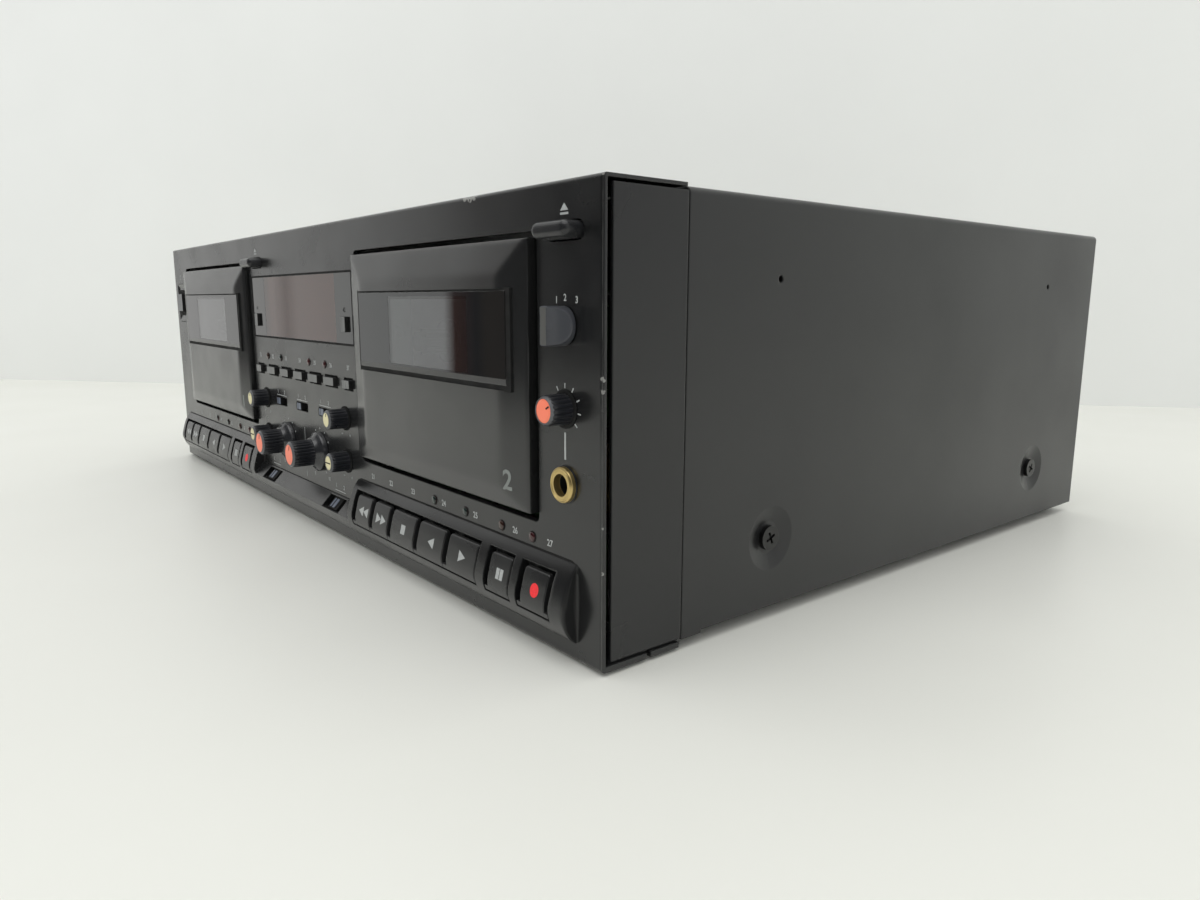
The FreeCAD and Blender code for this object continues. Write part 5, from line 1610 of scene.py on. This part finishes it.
@dataclass
class RibbedKnob:
    """Turned knob with a ribbed barrel, a grey chamfer and a coloured cap set into its end."""

    node: str
    x: float
    z: float
    proud: float
    seat_radius: float
    barrel_radius: float
    cap_radius: float
    cap: Finish
    ribs: int
    rib_depth: float = 0.32
    chamfer: float = 0.9
    pointer_deg: float = 15.0
    slit_deg: float | None = None
    flare: tuple[tuple[float, float], ...] = ()

    def profile(self) -> Profile:
        """Barrel from the panel to the cap's seat.

        Returns:
            Radius and proud height of each point, and the ribs' share where it has ribs.
        """
        r, top, foot = self.barrel_radius, self.proud - 0.12, self.seat()[-1][1] - 0.2
        ribbed, taper = foot + 0.4, 0.1
        rise = top - self.chamfer - ribbed
        points = [(r - 0.1, 0.1), (r, foot + 0.1), (r, ribbed, 1.0)]
        points += [(r - taper * share, ribbed + rise * share, 1.0) for share in (0.25, 0.5, 0.75, 1.0)]
        seat = self.cap_radius
        return points + [(r - 2 * taper, top - 0.8 * self.chamfer, 1.0), (seat + 0.3, top - 0.15),
                         (seat + 0.08, top - 0.1), (seat + 0.05, top - 0.6)]

    def seat(self) -> Profile:
        """Flared collar where the knob has a flare; else a flat seat, near-black as the painted shade of
        the hole round the shaft. Both run from the panel to the barrel.

        Returns:
            Radius and proud height of each point.
        """
        seat, r = self.seat_radius, self.barrel_radius
        rim = self.flare or ((seat, 0.3), (seat - 0.15, 0.38), (r + 0.3, 0.42))
        return [(r - 1.0, 0.02), (seat - 0.2, 0.02), (seat, 0.1), *rim, (r - 1.0, rim[-1][1])]

    def slot_mark(self, turn_deg: float, width: float, low: float, high: float) -> Surface:
        """Straight mark on the cap, from low to high along a direction clockwise from straight up.

        Args:
            turn_deg: Angle of the direction.
            width: Width of the mark.
            low: Where it starts.
            high: Where it ends.

        Returns:
            The flat mark.
        """
        turn = math.radians(turn_deg)
        across, along = np.meshgrid(np.linspace(-width / 2, width / 2, 3), np.linspace(low, high, 9))
        x = self.x + across * math.cos(turn) + along * math.sin(turn)
        z = self.z - across * math.sin(turn) + along * math.cos(turn)
        return printed_patch(x, z, FlatFace(self.proud))

    def build(self, shop: Workshop) -> None:
        """Build the barrel, the seat, the chamfer, the cap and the mark.

        Args:
            shop: Workshop that makes the pieces.
        """
        form = turned_form(self.x, self.z, self.profile(), 8 * self.ribs, self.ribs, self.rib_depth)
        made = shop.piece("body_" + self.node, form, KNOB_BLACK, self.node, sharp_deg=55.0)
        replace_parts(made, self.node)
        # Without a flare the seat is painted shade: a near-black disc where the hole round the shaft falls
        # dark.
        finish = COLLAR_SATIN if self.flare else SHADE_AND_TRIM_BLACK
        shop.piece("seat_" + self.node, turned_form(self.x, self.z, self.seat(), 96), finish, self.node)
        r, top, outer = self.cap_radius, self.proud, self.barrel_radius - 0.3
        chamfer = [(r + 0.06, top - 0.7), (outer, top - self.chamfer), (outer, top - 0.85 * self.chamfer),
                   (r + 0.3, top - 0.04), (r + 0.06, top - 0.06)]
        shop.piece("rim_" + self.node, ring_form(self.x, self.z, chamfer, 64), KNOB_RIM, self.node)
        face = [(r, top - 0.6), (r, top - 0.22), (r - 0.12, top - 0.1), (0.7 * r, top - 0.02),
                (0.35 * r, top), (0.05, top)]
        shop.piece("cap_" + self.node, turned_form(self.x, self.z, face, 48), self.cap, self.node)
        if self.slit_deg is not None:
            mark = self.slot_mark(self.slit_deg, 0.55, -0.85 * r, 0.85 * r)
        else:
            mark = self.slot_mark(self.pointer_deg, 0.5, 0.45 * r, 0.92 * r)
        shop.marks("mark_" + self.node, [mark], SHADE_AND_TRIM_BLACK, self.node)


@dataclass
class SelectorKnob:
    """Round selector with an upright finger bar between two scooped flanks."""

    node: str = "monitor_selector"
    x: float = COLUMN_X
    z: float = 94.0
    radius: float = 5.3
    proud: float = 7.1
    bar_half: float = 1.65
    scoop: float = 6.0
    ease: float = 0.35
    root: float = 0.35
    strip: float = 2.6

    def surface(self) -> Surface:
        """Polar grid over the disc.

        The bar stays proud; beyond it the height falls by a circle of the scoop radius.  A quarter
        circle comes off at the rim, and a last ring goes back to the panel.

        Returns:
            The closed surface.
        """
        turn = np.linspace(0, 2 * math.pi, 96, endpoint=False)[None, :]
        rim = self.radius - self.ease * (1 - np.cos(np.linspace(0, math.pi / 2, 5)))
        inner = np.linspace(self.radius - self.ease, 0.05, 16)[1:]
        reach = np.concatenate([[self.radius], rim, inner])[:, None]
        x = reach * np.sin(turn)
        over = np.clip(np.abs(x) - self.bar_half, 0, self.scoop)
        fall = np.sqrt(self.scoop ** 2 - (self.scoop - over) ** 2)
        lip = np.clip(reach - (self.radius - self.ease), 0, self.ease)
        proud = self.proud - fall - (self.ease - np.sqrt(self.ease ** 2 - lip ** 2))
        proud[0] = self.root
        return closed_stack(np.stack([self.x + x, -proud, self.z + reach * np.cos(turn)], axis=-1))

    def build(self, shop: Workshop) -> None:
        """Build the knob and a paler grey strip painted along the front of its finger bar as a highlight.

        Args:
            shop: Workshop that makes the pieces.
        """
        made = shop.piece("body_" + self.node, self.surface(), SELECTOR_GREY, self.node)
        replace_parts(made, self.node)
        # Painted highlight: a paler strip where the front of the finger bar catches the light.
        strip = bar(self.x, self.z, self.strip, 2 * self.radius - 0.9, FlatFace(self.proud))
        shop.marks("pointer_" + self.node, [strip], SELECTOR_HIGHLIGHT_GREY, self.node)


@dataclass
class RightColumn:
    """Eject bar, phones socket and print of the right column, and the other eject bar."""

    x: float = COLUMN_X
    eject_z: float = 118.8
    other_eject_x: float = -53.0
    eject_width: float = 15.6
    eject_height: float = 4.6
    eject_proud: float = 6.0
    eject_round: float = 2.3
    eject_ease: float = 1.9
    sign_z: float = 124.0
    sign_width: float = 3.6
    sign_height: float = 1.9
    knob_z: float = 71.5
    socket_z: float = 50.4

    def build(self, shop: Workshop) -> None:
        """Build the column's pieces from the top down.

        Args:
            shop: Workshop that makes the pieces.
        """
        for number, x in (("1", self.other_eject_x), ("2", self.x)):
            node = "eject_button_" + number
            block = cushion_block(x, self.eject_z, self.eject_width, self.eject_height, self.eject_round,
                                  self.eject_ease, FlatFace(self.eject_proud), 5.0)
            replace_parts(shop.piece("cap_" + node, block, BUTTON_BLACK, node), node)
        self.build_socket(shop)
        shop.marks("legends_column", self.legends(), INK)

    def build_socket(self, shop: Workshop) -> None:
        """Build the socket's turned brass nut, its dark liner and the ring behind it.

        Args:
            shop: Workshop that makes the pieces.
        """
        shop.dress("phones_socket", BRASS)
        nut = [(3.1, -0.5), (3.35, 0.5), (3.9, 1.75), (4.1, 1.95), (4.45, 1.95), (4.85, 1.6), (4.95, 1.0),
               (4.95, 0.2), (4.5, 0.05), (3.6, -0.6)]
        liner = [(2.9, -6.0), (3.22, -6.0), (3.22, -0.45), (3.05, -0.35), (2.9, -0.45)]
        washer = [(4.9, 0.0), (5.4, 0.0), (5.4, 0.2), (5.25, 0.3), (4.9, 0.3)]
        for name, profile, columns, finish, slot in (("nut", nut, 72, BRASS, "socket_brass"),
                                                     ("liner", liner, 48, SHADE_AND_TRIM_BLACK, ""),
                                                     ("washer", washer, 72, KNOB_BLACK, "")):
            form = ring_form(self.x, self.socket_z, profile, columns)
            shop.piece("phones_" + name, form, finish, CHASSIS)

    def legends(self) -> list[Surface]:
        """Printed signs of the column.

        Returns:
            Marks to print.
        """
        marks = []
        for x in (self.other_eject_x, self.x):
            share, up = np.meshgrid(np.linspace(-0.5, 0.5, 5), np.linspace(0, 1, 5))
            across = x + self.sign_width * share * (1 - 0.98 * up)
            marks.append(printed_patch(across, self.sign_z + self.sign_height * up, FlatFace()))
            marks.append(bar(x, self.sign_z - 0.8, self.sign_width, 0.6))
        marks += [numeral(text, self.x + reach, z, 1.9)
                  for text, reach, z in (("1", -3.6, 100.9), ("2", 0.2, 101.5), ("3", 5.3, 100.9))]
        marks += [tick(self.x, self.knob_z, 32.5 * step, 5.7, 7.1, 0.4) for step in range(-4, 5)]
        marks.append(bar(self.x, 61.2, 0.8, 7.6))
        return marks


@dataclass
class LeftMargin:
    """Power button in its dished surround, with its sign."""

    x: float = -203.0
    z: float = 99.1
    notches: tuple[tuple[float, float], ...] = ((105.7, 2.4), (92.3, 2.4), (110.7, 0.35), (87.3, 0.45))

    def build(self, shop: Workshop) -> None:
        """Build the button, the painted shade in the gaps round it, and its sign.

        Args:
            shop: Workshop that makes the pieces.
        """
        node = "power_button"
        width, height, proud = 10.3, 10.8, 1.3
        # The flank is painted shade: near-black on the button's sides.
        shade_flank = cushion_block(self.x, self.z, width, height, 0.6, 0.1, FlatFace(proud), 4.0)
        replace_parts(shop.piece("cap_" + node, shade_flank, SHADE_AND_TRIM_BLACK, node), node)
        face = DishedFace(self.x, self.z, 5.2, proud + 0.1, 0.1)
        plate = cushion_block(self.x, self.z, width - 0.2, height - 0.2, 0.5, 0.1, face, -1.1)
        shop.piece("plate_" + node, plate, KNOB_RIM, node)
        # Painted shade: black bars in the gaps above and below the button, and thin black lines at the
        # edges of its surround.
        shop.marks("power_notches", [bar(self.x, z, 11.6, height) for z, height in self.notches], SHADE_AND_TRIM_BLACK)
        marks = [disc(self.x, 114.6, 1.5, inner=1.1), bar(self.x, 115.8, 0.4, 1.6)]
        shop.marks("legends_power", marks, INK)


@dataclass
class Spindles:
    """The four reel spindles."""

    def build(self, shop: Workshop) -> None:
        """Dress the spindles."""
        for node in ("left_1", "right_1", "left_2", "right_2"):
            shop.dress("spindle_" + node, SELECTOR_GREY)


# ---- studio --------------------------------------------------------------------------
@dataclass(frozen=True)
class Viewpoint:
    """Where the camera stands and looks."""

    place: Triple = (0.382758, -0.283738, 0.101601)
    azimuth_deg: float = 50.685
    elevation_deg: float = 10.066
    roll_deg: float = 0.156
    lens_mm: float = 25.068
    sensor_mm: float = 36.0

    def build(self) -> None:
        """Make the scene's camera.

        It looks against a direction given by azimuth and elevation; roll turns its sides.
        """
        a, e, r = (math.radians(angle) for angle in (self.azimuth_deg, self.elevation_deg, self.roll_deg))
        back = Vector((math.sin(a) * math.cos(e), -math.cos(a) * math.cos(e), math.sin(e)))
        right = (-back).cross(Vector((0, 0, 1))).normalized()
        up = right.cross(-back)
        right, up = right * math.cos(r) + up * math.sin(r), up * math.cos(r) - right * math.sin(r)
        data = bpy.data.cameras.new("viewpoint")
        data.lens = self.lens_mm
        data.sensor_width = self.sensor_mm
        data.sensor_fit = "HORIZONTAL"
        data.clip_start = 0.01
        camera = bpy.data.objects.new("viewpoint", data)
        turn = Matrix((right, up, back)).transposed().to_4x4()
        camera.matrix_world = Matrix.Translation(self.place) @ turn
        bpy.context.scene.collection.objects.link(camera)
        bpy.context.scene.camera = camera


@dataclass(frozen=True)
class Studio:
    """Pale table and wall, a pale world with a darker room before the table, and one soft lamp."""

    table: Colour = (0.815, 0.815, 0.765)
    wall: Colour = (0.83, 0.84, 0.82)
    world: Colour = (0.975, 0.985, 0.98)
    world_light: float = 0.97
    world_gloss: float = 0.80
    table_front: float = -0.62
    wall_left: tuple[float, float] = (-1.050, -0.275)
    wall_right: tuple[float, float] = (0.124, 0.692)
    lamp_place: Triple = (0.3, -0.6, 2.4)
    lamp_size: float = 2.2
    lamp_power: float = 16.0
    room: tuple[tuple[float, Colour], ...] = (
        (0.0, (0.60, 0.60, 0.60)), (4.0, (0.80, 0.80, 0.79)), (18.7, (0.82, 0.82, 0.80)),
        (19.0, (0.58, 0.58, 0.57)), (19.3, (0.82, 0.82, 0.80)), (25.5, (0.84, 0.86, 0.84)),
        (29.1, (0.86, 0.87, 0.86)), (29.35, (0.14, 0.085, 0.075)), (30.2, (0.11, 0.07, 0.065)),
        (30.4, (0.025, 0.025, 0.025)), (31.4, (0.025, 0.025, 0.028)), (31.6, (0.085, 0.07, 0.05)),
        (33.2, (0.075, 0.06, 0.045)), (34.2, (0.032, 0.032, 0.036)), (48.0, (0.022, 0.022, 0.026)),
        (150.0, (0.022, 0.022, 0.026)), (162.0, (0.20, 0.20, 0.21)), (178.0, (0.80, 0.80, 0.79)),
    )

    def pale(self, name: str, tint: Colour, gloss: float) -> bpy.types.Material:
        """Plain pale surface with a faint unevenness, which the camera sees through from behind.

        Args:
            name: Name of the material.
            tint: Its colour.
            gloss: Roughness that it drifts about.

        Returns:
            The material.
        """
        bench = Bench(name)
        behind = bench.add("ShaderNodeNewGeometry").outputs["Backfacing"]
        watched = bench.add("ShaderNodeLightPath").outputs["Is Camera Ray"]
        hidden = bench.worked("MULTIPLY", behind, watched)
        finish = PlainCoat(name + "_tone", tint)
        rough = bench.ranged(bench.noise(90.0, 4.0), 0.3, 0.7, gloss - 0.05, gloss + 0.08)
        bench.shade(Base_Color=finish.toned(bench, 0.012, 160.0), Roughness=rough,
                    Alpha=bench.worked("SUBTRACT", 1.0, hidden))
        return bench.material

    def plane(self, name: str, corners: Sequence[Triple], tint: Colour, gloss: float) -> None:
        """Flat pale stage piece between four corners.

        Args:
            name: Name of the piece.
            corners: Its four corners in order.
            tint: Its colour.
            gloss: Its roughness.
        """
        mesh = bpy.data.meshes.new(name)
        mesh.from_pydata(list(corners), [], [(0, 1, 2, 3)])
        mesh.materials.append(self.pale(name + "_white", tint, gloss))
        made = bpy.data.objects.new(name, mesh)
        bpy.context.scene.collection.objects.link(made)

    def build(self) -> None:
        """Lay the table, put up the wall, light the world and hang the lamp."""
        reach, front, gloss = 8.0, self.table_front, 0.40
        self.plane("table", [(-reach, front, 0), (reach, front, 0), (reach, reach, 0), (-reach, reach, 0)],
                   self.table, gloss)
        low, right = Vector(self.wall_left), Vector(self.wall_right)
        high = low + (right - low).normalized() * reach
        gloss = 0.7
        self.plane("wall", [(*low, 0), (*high, 0), (*high, reach), (*low, reach)], self.wall, gloss)
        self.light_world()
        data = bpy.data.lights.new("soft_lamp", "AREA")
        data.shape = "SQUARE"
        data.size = self.lamp_size
        data.energy = self.lamp_power
        made = bpy.data.objects.new("soft_lamp", data)
        place = Vector(self.lamp_place)
        turn = place.to_track_quat("Z", "Y").to_matrix().to_4x4()
        made.matrix_world = Matrix.Translation(place) @ turn
        bpy.context.scene.collection.objects.link(made)

    def light_world(self) -> None:
        """World: one plain level of light, and in gloss a room that changes with the direction.

        The room's level is read off a ramp by the angle between the left and the front.  High up
        it goes over to one plain level.
        """
        world = bpy.data.worlds.new("pale_room")
        world.use_nodes = True
        bpy.context.scene.world = world
        world.node_tree.nodes.clear()
        bench = NodeBench(world.node_tree, "Generated")
        output = bench.add("ShaderNodeOutputWorld")
        ground = bench.add("ShaderNodeBackground")
        bench.feed(output.inputs[0], ground.outputs[0])
        x, y, z = bench.axes()
        turn = bench.worked("ARCTAN2", bench.product(y, -1.0), bench.product(x, -1.0))
        share = bench.ranged(turn, 0.0, math.pi)
        seen = bench.stepped(share, [(angle / 180.0, level) for angle, level in self.room])
        high = tuple(part * self.world_gloss for part in self.world)
        seen = bench.blended(bench.ranged(z, 0.55, 0.85), seen, high)
        path = bench.add("ShaderNodeLightPath")
        plain = tuple(part * self.world_light for part in self.world)
        bench.feed(ground.inputs["Color"], bench.blended(path.outputs["Is Glossy Ray"], plain, seen))
        bench.feed(ground.inputs["Strength"], 1.0)


# ---- the whole ----------------------------------------------------------------------
def knobs() -> list[RibbedKnob]:
    """Every ribbed knob of the front.

    Returns:
        The seven knobs.
    """
    small = {"proud": 8.5, "seat_radius": 5.1, "barrel_radius": 4.2, "cap_radius": 2.95, "cap": CREAM,
             "ribs": 15}
    level = {"proud": 14.45, "seat_radius": 8.6, "barrel_radius": 5.8, "cap_radius": 4.43, "cap": CORAL,
             "ribs": 24, "rib_depth": 0.42, "chamfer": 1.0, "pointer_deg": 18.0,
             "flare": ((8.7, 0.15), (8.7, 2.0), (8.5, 2.3), (7.6, 2.9), (6.8, 3.8), (6.3, 4.9))}
    phones = {"proud": 7.45, "seat_radius": 5.4, "barrel_radius": 4.3, "cap_radius": 3.3, "cap": CORAL,
              "ribs": 18, "pointer_deg": 62.0}
    made = []
    for number, side in (("1", -1), ("2", 1)):
        for row, z, slit in zip(("pitch", "balance"), KNOB_ROWS, (None, 90.0)):
            made.append(RibbedKnob("%s_knob_%s" % (row, number), side * KNOB_X, z, slit_deg=slit, **small))
        made.append(RibbedKnob("level_knob_" + number, side * LEVEL_X, LEVEL_Z, **level))
    return [*made, RibbedKnob("phones_knob", COLUMN_X, 71.5, **phones)]


def main() -> None:
    """Build the camera, the studio and every sub-assembly in order."""
    logging.basicConfig(level=logging.INFO, format="%(name)s: %(message)s")
    bpy.context.scene.view_settings.view_transform = "Standard"
    Viewpoint().build()
    Studio().build()
    shop = Workshop()
    assemblies = [CaseShell(), CassetteDoor("1", -DOOR_X), CassetteDoor("2", DOOR_X),
                  TransportBank("1", BANK_STARTS[0]), TransportBank("2", BANK_STARTS[1]), CentreConsole(),
                  *knobs(), SelectorKnob(), RightColumn(), LeftMargin(), Spindles()]
    for assembly in assemblies:
        LOG.info("building %s", type(assembly).__name__)
        assembly.build(shop)
    LOG.info("%d pieces", shop.made)


if __name__ == "__main__":
    main()
